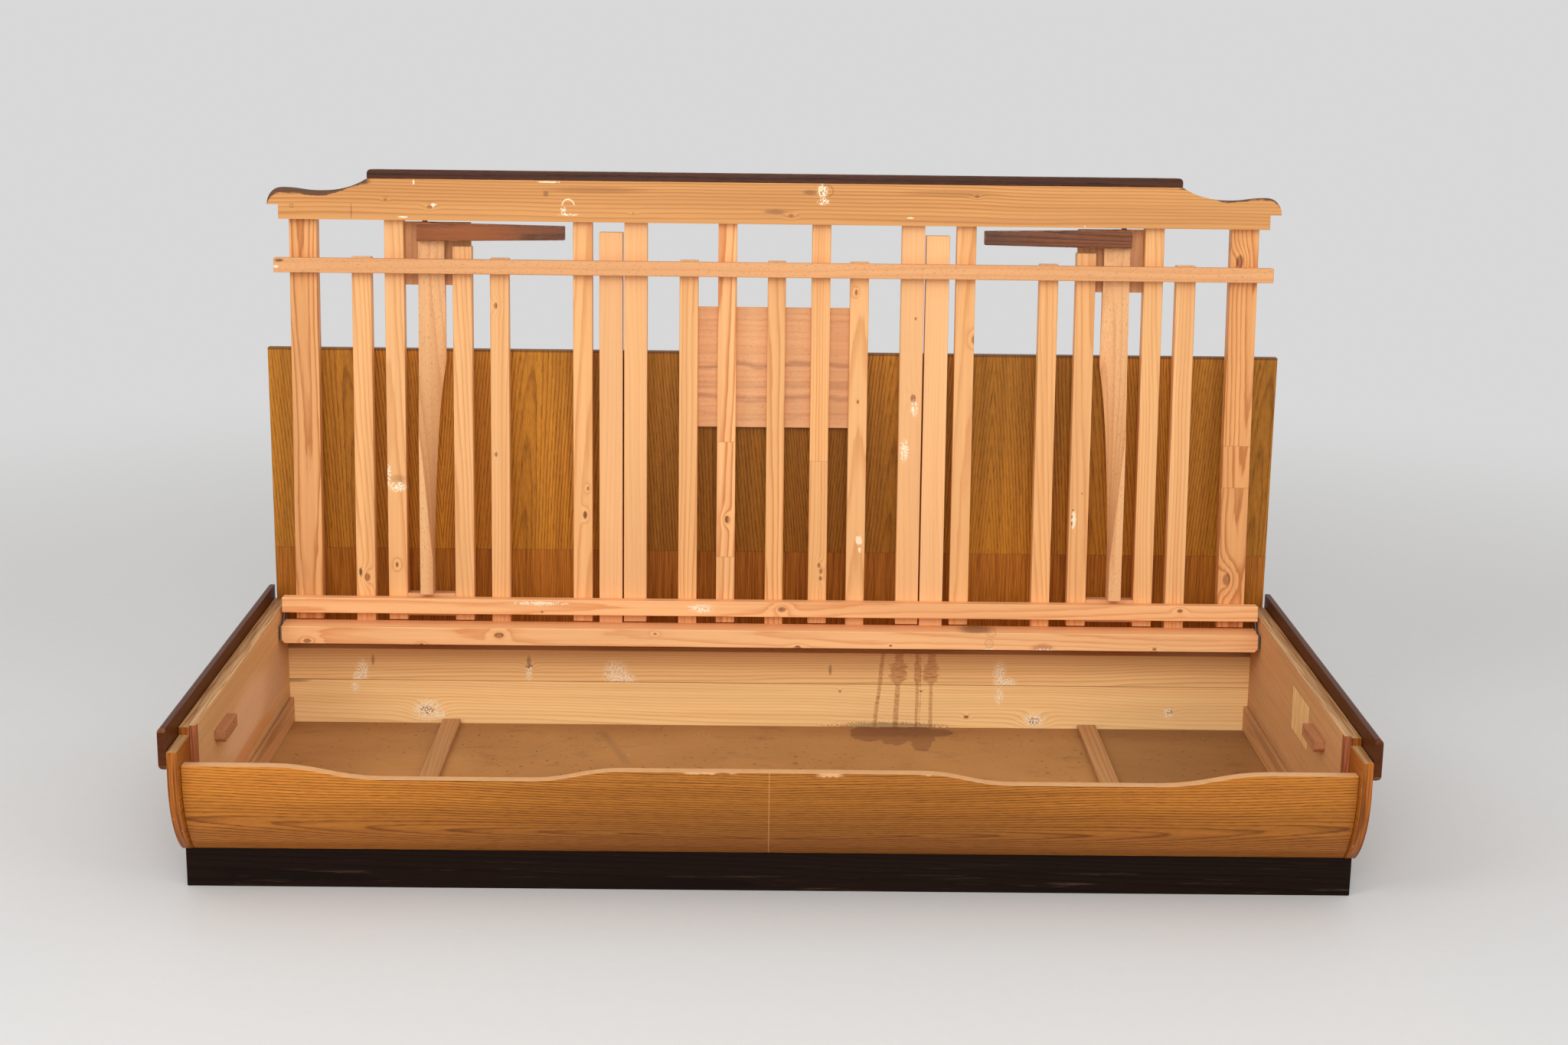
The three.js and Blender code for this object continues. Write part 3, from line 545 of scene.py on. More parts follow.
def patch_marks(graph, color):
    """Dark streaks across the plywood patch."""
    waver = graph.mul(graph.sub(graph.local((9, 9, 9)), 0.5), 0.05)
    up = graph.add(graph.up, waver)
    thread = graph.local((6, 6, 420))
    for middle, half, amount in ((0.489, 0.004, 0.5), (0.452, 0.008, 0.28), (0.425, 0.006, 0.42),
                                 (0.575, 0.004, 0.15), (0.39, 0.003, 0.15)):
        streak = graph.band(up, middle - half, middle + half, half)
        color = graph.lay(color, graph.mul(streak, thread), 1.7 * amount, BAND_TONE)
    return color


board("slat_patch", "back", False, PINE, light=rgb(236, 180, 128), dark=rgb(210, 148, 98),
      ring=0.009, contrast=0.25, drift=0.008, flecks=0.3, tone=0.16, marks=patch_marks)

# The front rail's outline: outer edge, sweep down beside the facing, ear
RAIL_TOP, SWEEP_TOP_X, SWEEP_LOW_X = 0.839, 0.776, 0.866
SWEEP_LOW, EAR_TOP, EAR_START_X, NOSE_START_X, EAR_END_X = 0.8155, 0.821, 0.93, 0.938, 0.966
NOSE_DROP = 0.028


def front_rail_marks(graph, color):
    """Stain round the outer edge, wood plug, pale scratches and dark places."""
    x = graph.absolute(graph.level)
    sweep = graph.step(x, SWEEP_TOP_X, SWEEP_LOW_X)
    top = graph.sub(RAIL_TOP, graph.mul(sweep, RAIL_TOP - SWEEP_LOW))
    top = graph.add(top, graph.mul(graph.step(x, SWEEP_LOW_X, EAR_START_X), EAR_TOP - SWEEP_LOW))
    nose = graph.most(graph.sub(x, NOSE_START_X), 0.0)
    nose = graph.mul(nose, 1 / (EAR_END_X - NOSE_START_X))
    nose = graph.sub(1, graph.math("SQRT", graph.most(graph.sub(1, graph.mul(nose, nose)), 0.0)))
    depth = graph.sub(graph.sub(top, graph.mul(nose, NOSE_DROP)), graph.up)
    rag = graph.local((60, 200, 200), 4, 0.7)
    width = graph.add(0.0024, graph.mul(graph.below(graph.level, -0.74, -0.7), 0.0065))
    depth = graph.add(depth, graph.mul(graph.sub(rag, 0.5), 0.01))
    ends = graph.step(x, SWEEP_TOP_X - 0.012, SWEEP_TOP_X + 0.004)
    stained = graph.mul(graph.below(graph.sub(depth, width), -0.001, 0.002), ends)
    sides = graph.mul(ends, graph.step(graph.most(graph.facing(UP_BACK), graph.mul(x, graph.mul(
        graph.absolute(graph.facing(X)), 1.1))), 0.25, 0.5))
    sides = graph.mul(sides, graph.step(graph.sub(graph.up, 0.79), 0.0, 0.004))
    stained = graph.most(stained, sides)
    color = graph.lay(color, stained, 0.9, STAIN)
    band = graph.mul(graph.oval(0.33, 0.824, 0.085, 0.006, 0.5, 0.6), 0.35)
    band = graph.most(band, graph.mul(graph.oval(-0.34, 0.823, 0.085, 0.006, 0.5, 0.6), 0.45))
    color = graph.mix(band, color, rgb(150, 92, 44))
    plug = graph.ring(0.098, 0.826, 0.0125, 0.0115, 0.0013, 0.08)
    color = graph.lay(color, plug, 0.7, rgb(120, 74, 38))
    arc = graph.ring(-0.394, 0.793, 0.0125, 0.0125, 0.002, 0.1, 0.3)
    color = graph.lay(color, arc, graph.step(graph.up, 0.792, 0.797), PLASTER)
    color = graph.lay(color, graph.ring(-0.919, 0.787, 0.0035, 0.004, 0.001, 0.2), 0.7, DIRT)
    color = graph.dirt(color, (0.066, 0.823, 0.012, 0.004), (-0.436, 0.815, 0.005, 0.005),
                       (0.001, 0.786, 0.02, 0.004), (-0.806, 0.778, 0.0012, 0.014), amount=0.5)
    color = graph.plaster(color, (0.09, 0.826, 0.009, 0.012), (0.092, 0.806, 0.01, 0.006),
                          (-0.65, 0.791, 0.005, 0.004), (-0.403, 0.784, 0.005, 0.008),
                          (-0.392, 0.776, 0.018, 0.002))
    return graph.chips(color, (-0.687, 0.834, 0.0017, 0.0045), (-0.431, 0.837, 0.02, 0.0015),
                       (-0.708, 0.768, 0.01, 0.0016), (0.258, 0.777, 0.007, 0.0014),
                       (0.591, 0.765, 0.0015, 0.001))


board("front_rail", "back", False, PINE, light=rgb(222, 157, 91), dark=rgb(178, 112, 52),
      ring=0.0055, drift=0.008, pith=(-0.055, 0.03), wave=0.8, marks=front_rail_marks,
      knots=((-0.741, 0.800, 0.0035), (-0.657, 0.788, 0.005), (0.384, 0.819, 0.0045),
             (0.03, 0.779, 0.005), (-0.27, 0.78, 0.003)))
board("front_facing", "back", False, STAINED, light=rgb(84, 50, 36), dark=rgb(52, 31, 23),
      drift=0.004)
for side in ("left", "right"):
    for node in (f"leg_block_lower_{side}", f"leg_block_upper_{side}"):
        board(node, "back", False, BEECH, light=rgb(232, 172, 118), dark=rgb(206, 142, 92))
    board(f"slat_gusset_{side}", "back", True, PINE, light=rgb(236, 178, 124),
          dark=rgb(208, 146, 94), ring=0.008, flecks=0.3, drift=0.01)
    board(f"leg_arm_{side}", "back", True, BEECH, light=rgb(240, 184, 127),
          dark=rgb(220, 155, 100), ring=0.01, contrast=0.6)


def leg_marks(tip, heel):
    """Darkens the stained leg towards its tip and leaves some dust on it."""
    def marks(graph, color):
        dark = graph.step(graph.mul(graph.sub(graph.level, heel), 1 / (tip - heel)), 0.3, 1.05)
        color = graph.lay(color, dark, 0.6, rgb(70, 42, 30))
        dusty = graph.mul(graph.step(graph.grit(30, 3), 0.5, 0.75), 0.06)
        return graph.mix(dusty, color, rgb(176, 130, 92))
    return marks


LEG_TIP, LEG_HEEL = 0.401, 0.683
LEG_TONES = dict(light=rgb(156, 84, 34), dark=rgb(100, 50, 18), pores=0.5, ring=0.004,
                 contrast=0.7, roughness=0.4, edge_wear_and_highlight=(rgb(196, 142, 92), 0.6))
board("leg_left", "back", False, LEG_TONES, marks=leg_marks(-LEG_TIP, -LEG_HEEL))
board("leg_right", "back", False, LEG_TONES, light=rgb(130, 70, 32), dark=rgb(82, 42, 20),
      marks=leg_marks(LEG_TIP, LEG_HEEL))


# Steel hinge plates and screws
def steel(name, light, dark, rough):
    graph = Graph(name)
    brushed = graph.local((40, 40, 900))
    dull = graph.grit(60, 3)
    color = graph.shade(graph.mix(dull, light, dark), graph.add(0.85, graph.mul(brushed, 0.3)))
    return graph.finish(color, graph.add(rough, graph.mul(dull, 0.25)), brushed, 0.00005,
                        metallic=1.0)


STEEL = steel("steel", rgb(168, 166, 162), rgb(120, 116, 112), 0.3)
SCREW_STEEL = steel("screw_steel", rgb(126, 118, 108), rgb(82, 72, 62), 0.38)
for side in ("left", "right"):
    dress(f"hinge_plate_{side}", STEEL, STEEL_EASE)

# Box: oak outside, dark mouldings and plinth
def bare_inside(graph, color):
    """Unfinished wood on the face that looks into the box."""
    bare = graph.streaks((10, 300, 300), rgb(224, 172, 118), rgb(196, 140, 88))
    return graph.mix(graph.step(graph.facing(Y), 0.35, 0.6), color, bare)


FRONT_TOP, SEAM_X = 0.237, -0.003
VENEER_EDGE = rgb(220, 168, 116)
# Chips along the veneer's upper edge: from, to, lowest point
FRONT_CHIPS = ((-0.142, -0.089, 0.2305), (-0.068, -0.060, 0.231), (0.078, 0.115, 0.2275),
               (0.248, 0.271, 0.2310))


def front_panel_marks(graph, color):
    """Deeper colour towards the plinth, seam, pale upper edge with chips."""
    height = graph.mul(graph.up, 1 / FRONT_TOP)
    color = graph.shade(color, graph.add(0.56, graph.mul(height, 0.5)))
    ends = graph.step(graph.absolute(graph.level), 0.15, 0.8)
    color = graph.shade(color, graph.add(0.74, graph.mul(ends, 0.28)))
    color = graph.shade(color, graph.sub(1.02, graph.mul(graph.level, 0.1)))
    low = graph.below(height, 0.32, 0.75)
    color = graph.lay(color, low, 0.16, rgb(150, 66, 30))
    seam = graph.band(graph.level, SEAM_X - 0.0007, SEAM_X + 0.0007, 0.0005)
    color = graph.lay(color, seam, 0.45, rgb(222, 164, 104))
    scuff = graph.mul(graph.step(graph.local((3, 3, 90), 3), 0.6, 0.75),
                      graph.below(height, 0.3, 0.36))
    color = graph.lay(color, scuff, 0.3, rgb(196, 140, 92))
    rag = graph.mul(graph.sub(graph.grit(160, 3), 0.5), 0.007)
    pale = graph.step(graph.facing(Z), 0.6, 0.8)
    for left, right, lowest in FRONT_CHIPS:
        torn = graph.mul(graph.band(graph.level, left, right, 0.008),
                         graph.step(graph.add(graph.up, rag), lowest, lowest + 0.0008))
        pale = graph.most(pale, torn)
    edge = graph.shade(VENEER_EDGE, graph.add(0.86, graph.mul(graph.grit(70, 3), 0.28)))
    color = graph.lay(color, pale, 0.92, edge)
    return bare_inside(graph, color)


board("front_panel", "front", False, OAK, light=rgb(198, 124, 44), dark=rgb(128, 70, 16),
      seams=(SEAM_X, 4.0), pith=(-0.05, 0.004), drift=0.04, wave=0.9, contrast=0.75,
      marks=front_panel_marks)


def side_board_marks(graph, color):
    """Pale core on the upper edge, small chips along the corners."""
    core = graph.streaks((420, 8, 8), rgb(208, 160, 108), rgb(170, 116, 68), (0.45, 0.6), 1, 0.5)
    color = graph.mix(graph.step(graph.facing(Z), 0.7, 0.9), color, core)
    lip = graph.mul(graph.below(graph.absolute(graph.facing(X)), 0.3, 0.6),
                    graph.below(graph.facing(Z), 0.5, 0.8))
    color = graph.mix(lip, color, graph.streaks(
        (380, 10, 10), rgb(176, 100, 32), rgb(116, 58, 14), (0.35, 0.65)))
    chip = graph.mul(graph.eased(), graph.step(graph.grit(90, 3), 0.66, 0.72))
    return graph.lay(color, chip, 0.5, rgb(226, 186, 140))


# Places on a lining: reddish strip at its front end, pale sheet of veneer on the right one
STRIP_FRONT, STRIP_REAR = -0.3747, -0.3617
SHEET_FRONT, SHEET_REAR, SHEET_LOW, SHEET_HIGH = -0.1167, 0.0193, 0.168, 0.249


def lining_marks(graph, color):
    """Reddish hardwood front edge between dark joint lines, dull foot."""
    strip = graph.streaks((300, 300, 14), rgb(190, 112, 68), rgb(128, 66, 38), roughness=0.5)
    inside = graph.band(graph.level, STRIP_FRONT - 0.01, STRIP_REAR, 0.0005)
    color = graph.mix(inside, color, strip)
    for at in (STRIP_REAR, STRIP_FRONT + 0.002):
        line = graph.band(graph.level, at - 0.0008, at + 0.0008, 0.0006)
        color = graph.lay(color, line, 0.75, rgb(70, 38, 24))
    core = graph.streaks((500, 8, 8), rgb(214, 168, 116), rgb(176, 124, 76), (0.45, 0.6), 1, 0.5)
    color = graph.mix(graph.step(graph.facing(Z), 0.7, 0.9), color, core)
    uneven = graph.add(graph.up, graph.mul(graph.grit(20), 0.02))
    foot = graph.below(uneven, 0.09, 0.12)
    return graph.lay(color, foot, 0.25, rgb(120, 84, 58))


def left_lining_marks(graph, color):
    """A pale pointed figure with a warm rim in the veneer."""
    for level, up, wide, tall, tint, amount in (
            (-0.02, 0.17, 0.19, 0.055, rgb(244, 204, 166), 0.6),
            (0.0, 0.112, 0.24, 0.016, rgb(212, 140, 74), 0.6),
            (0.24, 0.16, 0.12, 0.05, rgb(214, 170, 134), 0.5)):
        shape = graph.oval(graph.add(level, graph.mul(graph.up, 0.25)), up, wide, tall, 0.35, 0.25)
        color = graph.lay(color, shape, amount, tint)
    return lining_marks(graph, color)


def right_lining_marks(graph, color):
    """A sheet of paler veneer let in behind the peg, and drips under it."""
    sheet = graph.streaks((500, 500, 18), rgb(255, 222, 160), rgb(224, 172, 108), detail=2,
                          roughness=0.5)
    inside = graph.box(SHEET_FRONT, SHEET_REAR, SHEET_LOW, SHEET_HIGH, 0.0006)
    rim = graph.box(SHEET_FRONT - 0.002, SHEET_REAR + 0.002, SHEET_LOW - 0.0012,
                    SHEET_HIGH + 0.0012, 0.0006)
    color = graph.lay(color, rim, 0.5, DIRT)
    color = graph.mix(inside, color, sheet)
    drips = graph.step(graph.local((1, 260, 5)), 0.56, 0.66)
    under = graph.box(SHEET_FRONT - 0.02, SHEET_FRONT + 0.05, 0.115, SHEET_LOW, 0.01)
    color = graph.lay(color, graph.mul(drips, under), 0.6, rgb(128, 84, 52))
    return lining_marks(graph, color)


LINING_TONES = dict(ring=0.014, pith=(0.02, 0.02), contrast=0.22, drift=0.04, roughness=0.6,
                    wave=2.0, tone=0.1, flecks=0.25, veneer=True)
board("side_lining_left", "side", False, LINING_TONES, light=rgb(222, 174, 118),
      dark=rgb(192, 141, 86), marks=left_lining_marks)
board("side_lining_right", "side", False, LINING_TONES, light=rgb(217, 165, 110),
      dark=rgb(192, 138, 86), marks=right_lining_marks)
for side in ("left", "right"):
    board(f"side_board_{side}", "side", False, OAK, light=rgb(176, 100, 30),
          dark=rgb(118, 60, 12), marks=side_board_marks)
    board(f"side_cap_{side}", "side", False, STAINED, CAP_EASE, light=rgb(92, 46, 22),
          dark=rgb(48, 22, 10), gloss=0.08)
    board(f"plinth_side_{side}", "side", False, PLINTH)
    board(f"floor_cleat_{side}", "side", False, PINE, light=rgb(214, 160, 106),
          dark=rgb(180, 124, 76), marks=dirt_marks((0.2, 0.075, 0.2, 0.01), amount=0.35))
    board(f"rest_peg_{side}", "side", False, HARDWOOD, PEG_EASE)
    board(f"floor_batten_{side}", "flat", True, PINE, light=rgb(200, 148, 96),
          dark=rgb(164, 112, 68), tone=0.18)


def plinth_marks(graph, color):
    """Pale rubs and scratches, mostly near the floor."""
    rub = graph.local((7, 7, 160), 4, 0.7)
    low = graph.below(graph.up, 0.012, 0.05)
    rub = graph.mul(graph.step(rub, 0.58, 0.74), graph.add(0.06, graph.mul(low, 0.16)))
    return bare_inside(graph, graph.mix(rub, color, rgb(128, 104, 84)))


board("plinth_front", "front", False, PLINTH, marks=plinth_marks)


# Water drips down the back boards: across at the joint, half widths below it and where the
# water has crept along the grain, lean
DRIPS = ((0.219, 0.0036, 0.0045, 0.095), (0.255, 0.005, 0.0155, 0.03), (0.294, 0.0033, 0.006, 0.0),
         (0.322, 0.0036, 0.015, 0.0), (0.3005, 0.0008, 0.0012, 0.0))
DRIP_TONE = rgb(168, 98, 48)
SPREAD_LOW, SPREAD_HIGH, BOARD_JOINT, BOARD_FOOT = 0.126, 0.166, 0.1201, 0.038


def drips(graph, color):
    """Brown runs that have crept sideways along the grain, and the joint of the two boards."""
    waver = graph.mul(graph.sub(graph.local((22, 22, 22), 1), 0.5), 0.004)
    creep = graph.sub(graph.local((45, 45, 330), 2, 0.6), 0.5)
    dashes = graph.step(graph.local((70, 70, 520), 2, 0.6), 0.5, 0.62)
    spread = graph.band(graph.up, SPREAD_LOW, SPREAD_HIGH, 0.006)
    spread = graph.most(spread, graph.mul(graph.step(graph.up, SPREAD_LOW, SPREAD_HIGH), 0.35))
    amount = graph.add(0.42, graph.mul(dashes, 0.3))
    inside = graph.step(graph.facing(-Y), 0.3, 0.6)
    above = graph.sub(graph.up, BOARD_JOINT)
    for at, half, wide, lean in DRIPS:
        across = graph.add(graph.sub(graph.level, graph.add(at, graph.mul(above, lean))), waver)
        reach = graph.add(half, graph.mul(spread, wide - half))
        rough = graph.add(0.004, graph.mul(spread, 2.2 * (wide - half)))
        reach = graph.add(reach, graph.mul(creep, rough))
        off = graph.sub(graph.absolute(across), reach)
        run = graph.below(off, -0.0012, 0.0008)
        color = graph.lay(color, graph.mul(run, amount), inside, DRIP_TONE)
    foot = graph.mul(graph.oval(0.24, BOARD_FOOT - 0.004, 0.1, 0.007, 0.3, 2.2), 0.55)
    color = graph.lay(color, foot, inside, DIRT)
    line = graph.band(graph.up, BOARD_JOINT - 0.0006, BOARD_JOINT + 0.0006, 0.0006)
    return graph.lay(color, line, 0.5, rgb(128, 78, 42))


def lower_back_marks(graph, color):
    """Ring knots' white edges, drips and dirt in the lower board."""
    color = graph.plaster(color, (-0.826, 0.106, 0.008, 0.01), (-0.684, 0.059, 0.026, 0.02),
                          (0.53, 0.05, 0.02, 0.014), (-0.66, 0.05, 0.012, 0.008),
                          (0.799, 0.066, 0.009, 0.01), (0.458, 0.098, 0.008, 0.016))
    return drips(graph, graph.dirt(color, (-0.95, 0.118, 0.03, 0.004), amount=0.5))


def upper_back_marks(graph, color):
    """Plaster smears and drips in the upper board, and a painted shadow under the rail."""
    color = graph.plaster(color, (-0.812, 0.140, 0.011, 0.022), (-0.822, 0.126, 0.008, 0.012),
                          (-0.308, 0.140, 0.022, 0.024), (-0.29, 0.126, 0.02, 0.014),
                          (-0.48, 0.140, 0.006, 0.018), (0.458, 0.140, 0.012, 0.03),
                          (0.47, 0.126, 0.02, 0.01))
    color = graph.dirt(color, (-0.48, 0.160, 0.004, 0.012), (-0.79, 0.162, 0.003, 0.01),
                       (0.12, 0.15, 0.003, 0.01), (0.906, 0.113, 0.004, 0.003), amount=0.55)
    # Painted shadow of the rail: the board is darker towards its top
    dull = graph.step(graph.up, 0.125, 0.185)
    color = graph.lay(color, dull, 0.3, rgb(186, 128, 74))
    return drips(graph, color)


board("back_board_lower", "front", False, PINE, light=rgb(255, 214, 150),
      dark=rgb(232, 177, 113), ring=0.005, drift=0.012, tone=0.1,
      marks=lower_back_marks,
      knots=((-0.684, 0.059, 0.014), (0.53, 0.046, 0.012), (0.14, 0.105, 0.004),
             (0.394, 0.054, 0.0045), (0.302, 0.107, 0.003), (0.802, 0.068, 0.006)))
board("back_board_upper", "front", False, PINE, light=rgb(250, 203, 138),
      dark=rgb(216, 163, 99), contrast=0.65, drift=0.01, tone=0.12,
      marks=upper_back_marks, knots=((-0.48, 0.151, 0.006),))

# Leaves of the back panel's veneer: where they start, how wide, where their pith lies
LEAF_START, LEAF_WIDTH, LEAF_PITH = -0.29, 0.36, 0.24
PANEL_JOINT, PANEL_TOP = 0.384, 0.783


def back_panel_marks(graph, color):
    """Golden places, partly figure in the veneer and partly a painted sheen, plainer darker veneer
    under the joint, thin dark upper edge.
    """
    # Lighter golden places: figure in the veneer together with a painted sheen
    glow = graph.noise(graph.scaled(graph.place, (3.2, 3.2, 1.1), (2.3, 0, 4.1)), 1)
    color = graph.shade(color, graph.add(0.78, graph.mul(graph.step(glow, 0.3, 0.7), 0.46)))
    ends = graph.step(graph.absolute(graph.level), 0.72, 0.92)
    color = graph.shade(color, graph.sub(1, graph.mul(ends, 0.16)))
    lower = graph.streaks((420, 420, 9), rgb(198, 119, 40), rgb(132, 68, 14))
    below = graph.below(graph.up, PANEL_JOINT - 0.0006, PANEL_JOINT + 0.0006)
    color = graph.lay(color, below, 0.75, lower)
    seam = graph.band(graph.up, PANEL_JOINT - 0.0008, PANEL_JOINT + 0.0008, 0.0006)
    edge = graph.step(graph.up, PANEL_TOP - 0.005, PANEL_TOP - 0.003)
    edge = graph.most(graph.mul(seam, 0.5), edge)
    color = graph.lay(color, edge, 0.6, rgb(72, 44, 24))
    rear = graph.streaks((150, 150, 4), rgb(178, 116, 62), rgb(136, 82, 40), (0.35, 0.65))
    return graph.mix(graph.step(graph.facing(Y), 0.5, 0.8), color, rear)


board("back_panel", "front", True, OAK, light=rgb(190, 124, 36), dark=rgb(130, 73, 14),
      seams=(LEAF_START, LEAF_WIDTH, LEAF_PITH), pith=(0.0, 0.004), drift=0.1, ring=0.006,
      contrast=0.7, wave=0.9, mottle=0.5, marks=back_panel_marks)

# Spilt water on the floor, along the foot of the back boards: across, back, half width, half depth
POOLS = ((0.195, 0.362, 0.036, 0.05), (0.246, 0.362, 0.032, 0.074), (0.299, 0.362, 0.028, 0.11),
         (0.27, 0.37, 0.1, 0.03))
# A pale line across the floor: where it is at its rear end, and how it leans
SCAR_ACROSS, SCAR_BACK, SCAR_LEAN = -0.328, 0.349, -0.32


def hardboard(node):
    """Pressed fibre board, with old dirt and a stain of spilt water."""
    graph = Graph(node, "flat")
    fine = graph.grit(600, 4)
    soft = graph.local((4, 6, 4), 4, 0.6)
    color = graph.mix(soft, rgb(206, 150, 88), rgb(160, 111, 62))
    color = graph.shade(color, graph.add(0.9, graph.mul(fine, 0.2)))
    specks = graph.mul(graph.step(graph.grit(90, 3), 0.63, 0.68), graph.step(soft, 0.35, 0.55))
    color = graph.lay(color, specks, 0.7, rgb(96, 58, 32))
    edges = graph.step(graph.up, 0.30, 0.40)
    color = graph.lay(color, edges, 0.35, rgb(104, 66, 36))
    smudge = graph.step(graph.local((16, 30, 16), 3, 0.6), 0.56, 0.7)
    color = graph.shade(color, graph.sub(1, graph.mul(smudge, 0.16)))
    right = graph.step(graph.level, 0.58, 0.66)
    color = graph.shade(color, graph.sub(1, graph.mul(right, 0.26)))
    uneven = graph.mul(graph.sub(graph.grit(30), 0.5), 0.03)
    across, back = graph.add(graph.level, uneven), graph.add(graph.up, uneven)
    pool = 0.0
    for level, up, wide, tall in POOLS:
        reach = graph.length(graph.mul(graph.sub(across, level), 1 / wide),
                             graph.mul(graph.sub(back, up), 1 / tall))
        pool = graph.most(pool, graph.below(reach, 0.92, 1.0))
    foot = graph.mul(pool, graph.step(back, 0.332, 0.358))
    color = graph.lay(color, pool, 0.46, rgb(112, 62, 42))
    color = graph.lay(color, foot, 0.3, rgb(84, 46, 28))
    behind = graph.sub(graph.up, SCAR_BACK)
    line = graph.sub(graph.level, graph.add(SCAR_ACROSS, graph.mul(behind, SCAR_LEAN)))
    scar = graph.mul(graph.band(line, -0.008, 0.008, 0.006), graph.band(graph.up, 0.17, 0.36, 0.02))
    color = graph.lay(color, scar, 0.25, rgb(110, 80, 56))
    crumbs = graph.step(graph.grit(230, 1), 0.74, 0.77)
    crumbs = graph.mul(crumbs, graph.step(graph.grit(7), 0.56, 0.66))
    color = graph.lay(color, crumbs, 0.7, PLASTER)
    return graph.finish(color, graph.add(0.5, graph.mul(fine, 0.2)), fine, 0.0001)


dress("floor_panel", hardboard("floor_panel"))

# Small round-headed screws in the pegs' counterbores
SCREW_RADIUS, SCREW_PROUD, SCREW_SLOT = 0.0034, 0.0012, 0.0008
PEG_SCREW_END, PEG_SCREW_DEPTH, SCREW_STEPS = 0.024, 0.0025, 24
# Rings of the head, from its foot up: share of the radius and of the height
SCREW_DOME = ((1.0, 0.0), (1.0, 0.35), (0.8, 0.75), (0.45, 0.95))
FRONT_TURN, REAR_TURN = 0.5, 1.3


def link(name, data):
    made = bpy.data.objects.new(name, data)
    SCENE.collection.objects.link(made)
    return made


def mesh_object(name, mesh):
    data = bpy.data.meshes.new(name)
    mesh.to_mesh(data)
    mesh.free()
    return link(name, data)


def screw(name, place, inward, turn):
    """A slotted, slightly domed head that lies on the bottom of its counterbore."""
    mesh = bmesh.new()
    rings = []
    for radius, rise in SCREW_DOME:
        ring = []
        for i in range(SCREW_STEPS):
            angle = 2 * math.pi * i / SCREW_STEPS
            ring.append(mesh.verts.new((SCREW_PROUD * rise * inward,
                                        SCREW_RADIUS * radius * math.cos(angle),
                                        SCREW_RADIUS * radius * math.sin(angle))))
        rings.append(ring)
    for lower, upper in zip(rings, rings[1:]):
        for i in range(SCREW_STEPS):
            j = (i + 1) % SCREW_STEPS
            mesh.faces.new((lower[i], lower[j], upper[j], upper[i]))
    mesh.faces.new(rings[-1])
    mesh.faces.new(rings[0][::-1])
    bmesh.ops.recalc_face_normals(mesh, faces=mesh.faces)
    head = mesh_object(name, mesh)
    slot = bmesh.new()
    bmesh.ops.create_cube(slot, size=1.0)
    bmesh.ops.scale(slot, vec=(SCREW_PROUD, 4 * SCREW_RADIUS, SCREW_SLOT), verts=slot.verts)
    bmesh.ops.translate(slot, vec=(SCREW_PROUD * inward, 0, 0), verts=slot.verts)
    bmesh.ops.rotate(slot, matrix=Matrix.Rotation(turn, 3, "X"), verts=slot.verts)
    cutter = mesh_object(name + "_slot", slot)
    cut = head.modifiers.new("Slot", "BOOLEAN")
    cut.object = cutter
    cut.solver = "EXACT"
    bpy.context.view_layer.update()
    slotted = head.evaluated_get(bpy.context.evaluated_depsgraph_get())
    slotted = bpy.data.meshes.new_from_object(slotted)
    head.modifiers.clear()
    head.data = slotted
    head.data.materials.clear()
    head.data.materials.append(SCREW_STEEL)
    bpy.data.objects.remove(cutter)
    head.location = place
    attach(head, "base")


for side, inward in (("left", 1), ("right", -1)):
    low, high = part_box(f"rest_peg_{side}")
    face = high.x if side == "left" else low.x
    middle = (low.z + high.z) / 2
    x = face - inward * PEG_SCREW_DEPTH
    for end, y, turn in (("front", low.y + PEG_SCREW_END, FRONT_TURN),
                         ("rear", high.y - PEG_SCREW_END, REAR_TURN)):
        screw(f"peg_screw_{side}_{end}", Vector((x, y, middle)), inward, turn)

for node in sorted(NODES):
    if not NODES[node].modifiers:
        raise ValueError(f"{node} has no finish")

# Floor, light and camera
FLOOR_REACH = 120
FLOOR_TONE = rgb(222, 221, 219)
BACKDROP_TONE = rgb(216, 216, 216)
FADE_START, FADE_END = 1.9, 4.5
WORLD_STRENGTH = 0.68
# Lamps: where they are, what they look at, how wide and how strong they are
LAMPS = {
    "front": ((0.0, -4.6, 2.6), (0, 0, 0.4), 2.4, 85),
    "window": ((-3.0, -2.8, 3.2), (0, 0, 0.5), 2.0, 48),
    "fill": ((3.2, -3.2, 2.8), (0, 0, 0.5), 2.4, 28),
}


def backdrop_rays(tree, links):
    """1 for rays that see the backdrop itself, 0 for those that light the object."""
    path = tree.new("ShaderNodeLightPath")
    total = path.outputs["Is Camera Ray"]
    for other in ("Is Glossy Ray", "Is Transmission Ray"):
        most = tree.new("ShaderNodeMath")
        most.operation = "MAXIMUM"
        links.new(total, most.inputs[0])
        links.new(path.outputs[other], most.inputs[1])
        total = most.outputs[0]
    return total


def pale_floor():
    """Plain floor that fades into the backdrop's tone away from the object."""
    graph = Graph("pale_floor", "flat")
    fleck = graph.local((40, 40, 40), 4)
    color = graph.mix(fleck, FLOOR_TONE, tuple(0.96 * c for c in FLOOR_TONE))
    graph.finish(color, 0.7)
    output = graph.tree.nodes["Material Output"]
    shader = output.inputs["Surface"].links[0].from_socket
    glow = graph.node("ShaderNodeEmission", {"Color": (*BACKDROP_TONE, 1), "Strength": 1.0})
    far = graph.step(graph.length(graph.level, graph.up), FADE_START, FADE_END)
    seen = backdrop_rays(graph.tree.nodes, graph.tree.links)
    blend = graph.node("ShaderNodeMixShader", {
        0: graph.mul(far, seen), 1: shader, 2: glow.outputs[0]})
    graph.put(output.inputs["Surface"], blend.outputs[0])
    return graph.material


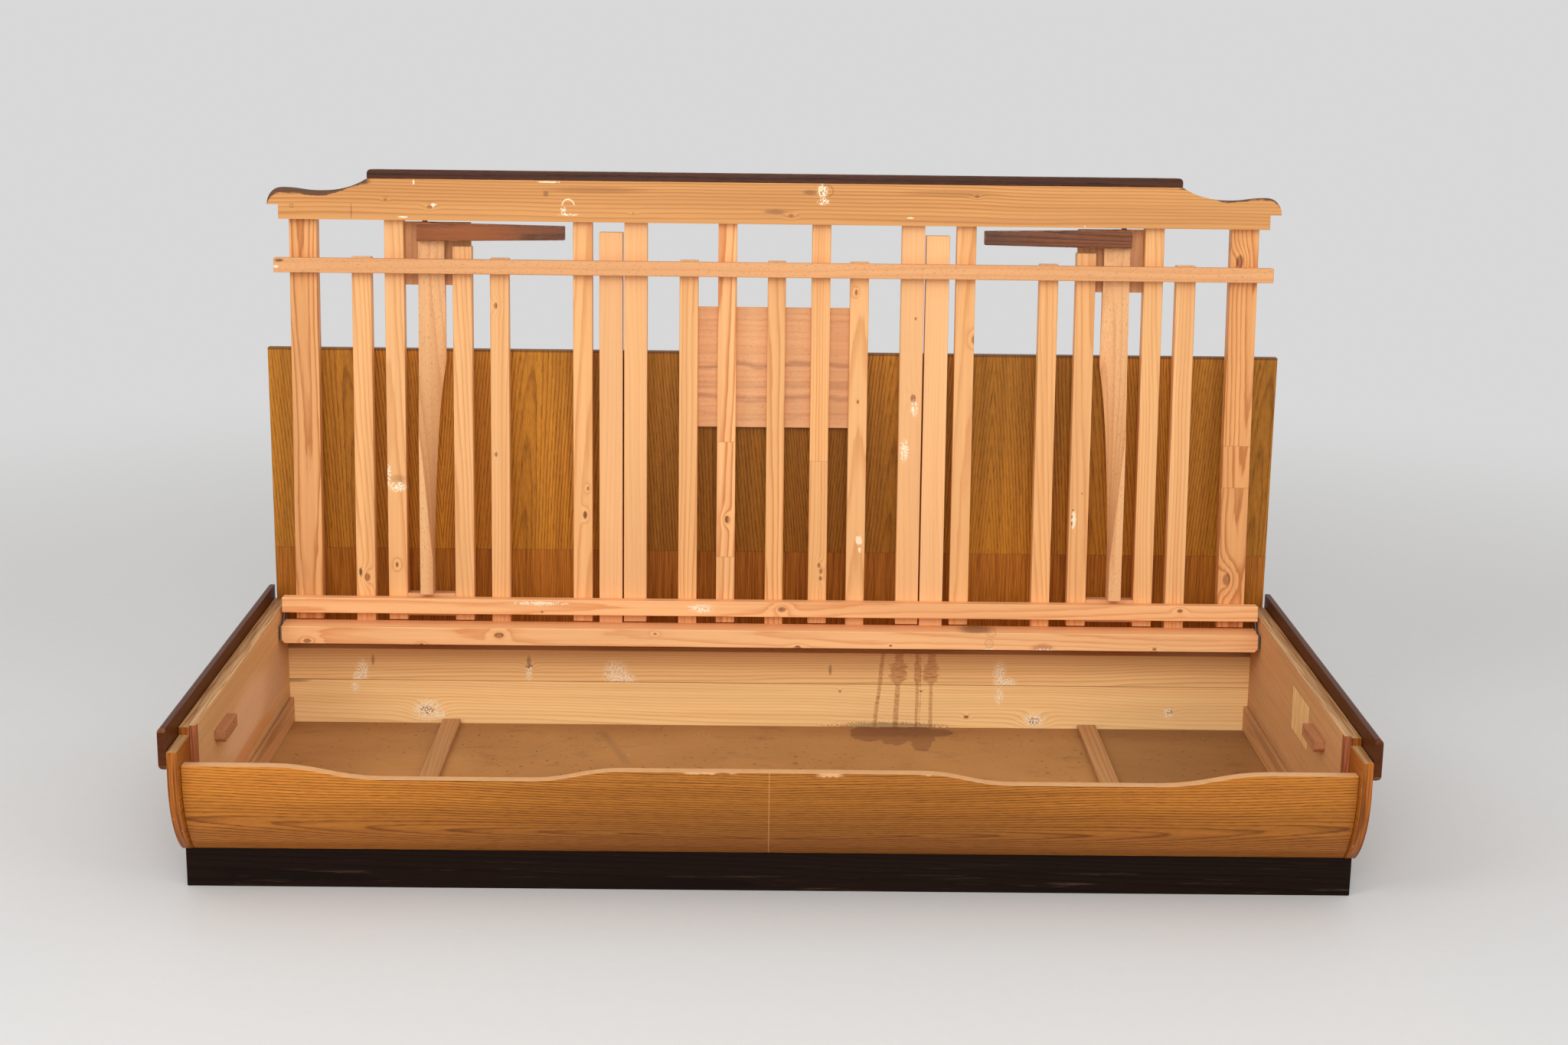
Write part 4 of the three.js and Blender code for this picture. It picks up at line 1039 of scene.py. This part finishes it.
def make_floor():
    mesh = bpy.data.meshes.new("floor")
    corners = [(x * FLOOR_REACH, y * FLOOR_REACH, 0)
               for x, y in ((-1, -1), (1, -1), (1, 1), (-1, 1))]
    mesh.from_pydata(corners, [], [(0, 1, 2, 3)])
    floor = link("floor", mesh)
    mesh.materials.append(pale_floor())


def soft_lamp(name, place, target, size, power):
    lamp = bpy.data.lights.new(name, "AREA")
    lamp.shape = "SQUARE"
    lamp.size = size
    lamp.energy = power
    held = link(name, lamp)
    held.location = place
    held.rotation_euler = (Vector(target) - Vector(place)).to_track_quat("-Z", "Y").to_euler()


def light_room():
    world = bpy.data.worlds.new("room")
    world.use_nodes = True
    nodes, links = world.node_tree.nodes, world.node_tree.links
    light = nodes["Background"]
    light.inputs["Color"].default_value = (1, 1, 1, 1)
    light.inputs["Strength"].default_value = WORLD_STRENGTH
    seen = nodes.new("ShaderNodeBackground")
    seen.inputs["Color"].default_value = (*BACKDROP_TONE, 1)
    blend = nodes.new("ShaderNodeMixShader")
    links.new(backdrop_rays(nodes, links), blend.inputs[0])
    links.new(light.outputs[0], blend.inputs[1])
    links.new(seen.outputs[0], blend.inputs[2])
    links.new(blend.outputs[0], nodes["World Output"].inputs["Surface"])
    SCENE.world = world
    for name, lamp in LAMPS.items():
        soft_lamp(name, *lamp)


def place_camera():
    yaw, pitch, roll = CAMERA_YAW, CAMERA_PITCH, CAMERA_ROLL
    forward = Vector((math.sin(yaw) * math.cos(pitch), math.cos(yaw) * math.cos(pitch),
                      math.sin(pitch)))
    level = Vector((math.cos(yaw), -math.sin(yaw), 0))
    upright = level.cross(forward)
    right = math.cos(roll) * level + math.sin(roll) * upright
    up = math.cos(roll) * upright - math.sin(roll) * level
    lens = bpy.data.cameras.new("camera")
    lens.sensor_width = SENSOR
    lens.lens = FOCAL_PIXELS / IMAGE_WIDTH * SENSOR
    lens.clip_end = CAMERA_FAR
    camera = link("camera", lens)
    camera.matrix_world = (Matrix.Translation(CAMERA_PLACE)
                           @ Matrix((right, up, -forward)).transposed().to_4x4())
    SCENE.camera = camera


make_floor()
light_room()
place_camera()
SCENE.view_settings.view_transform = "Standard"
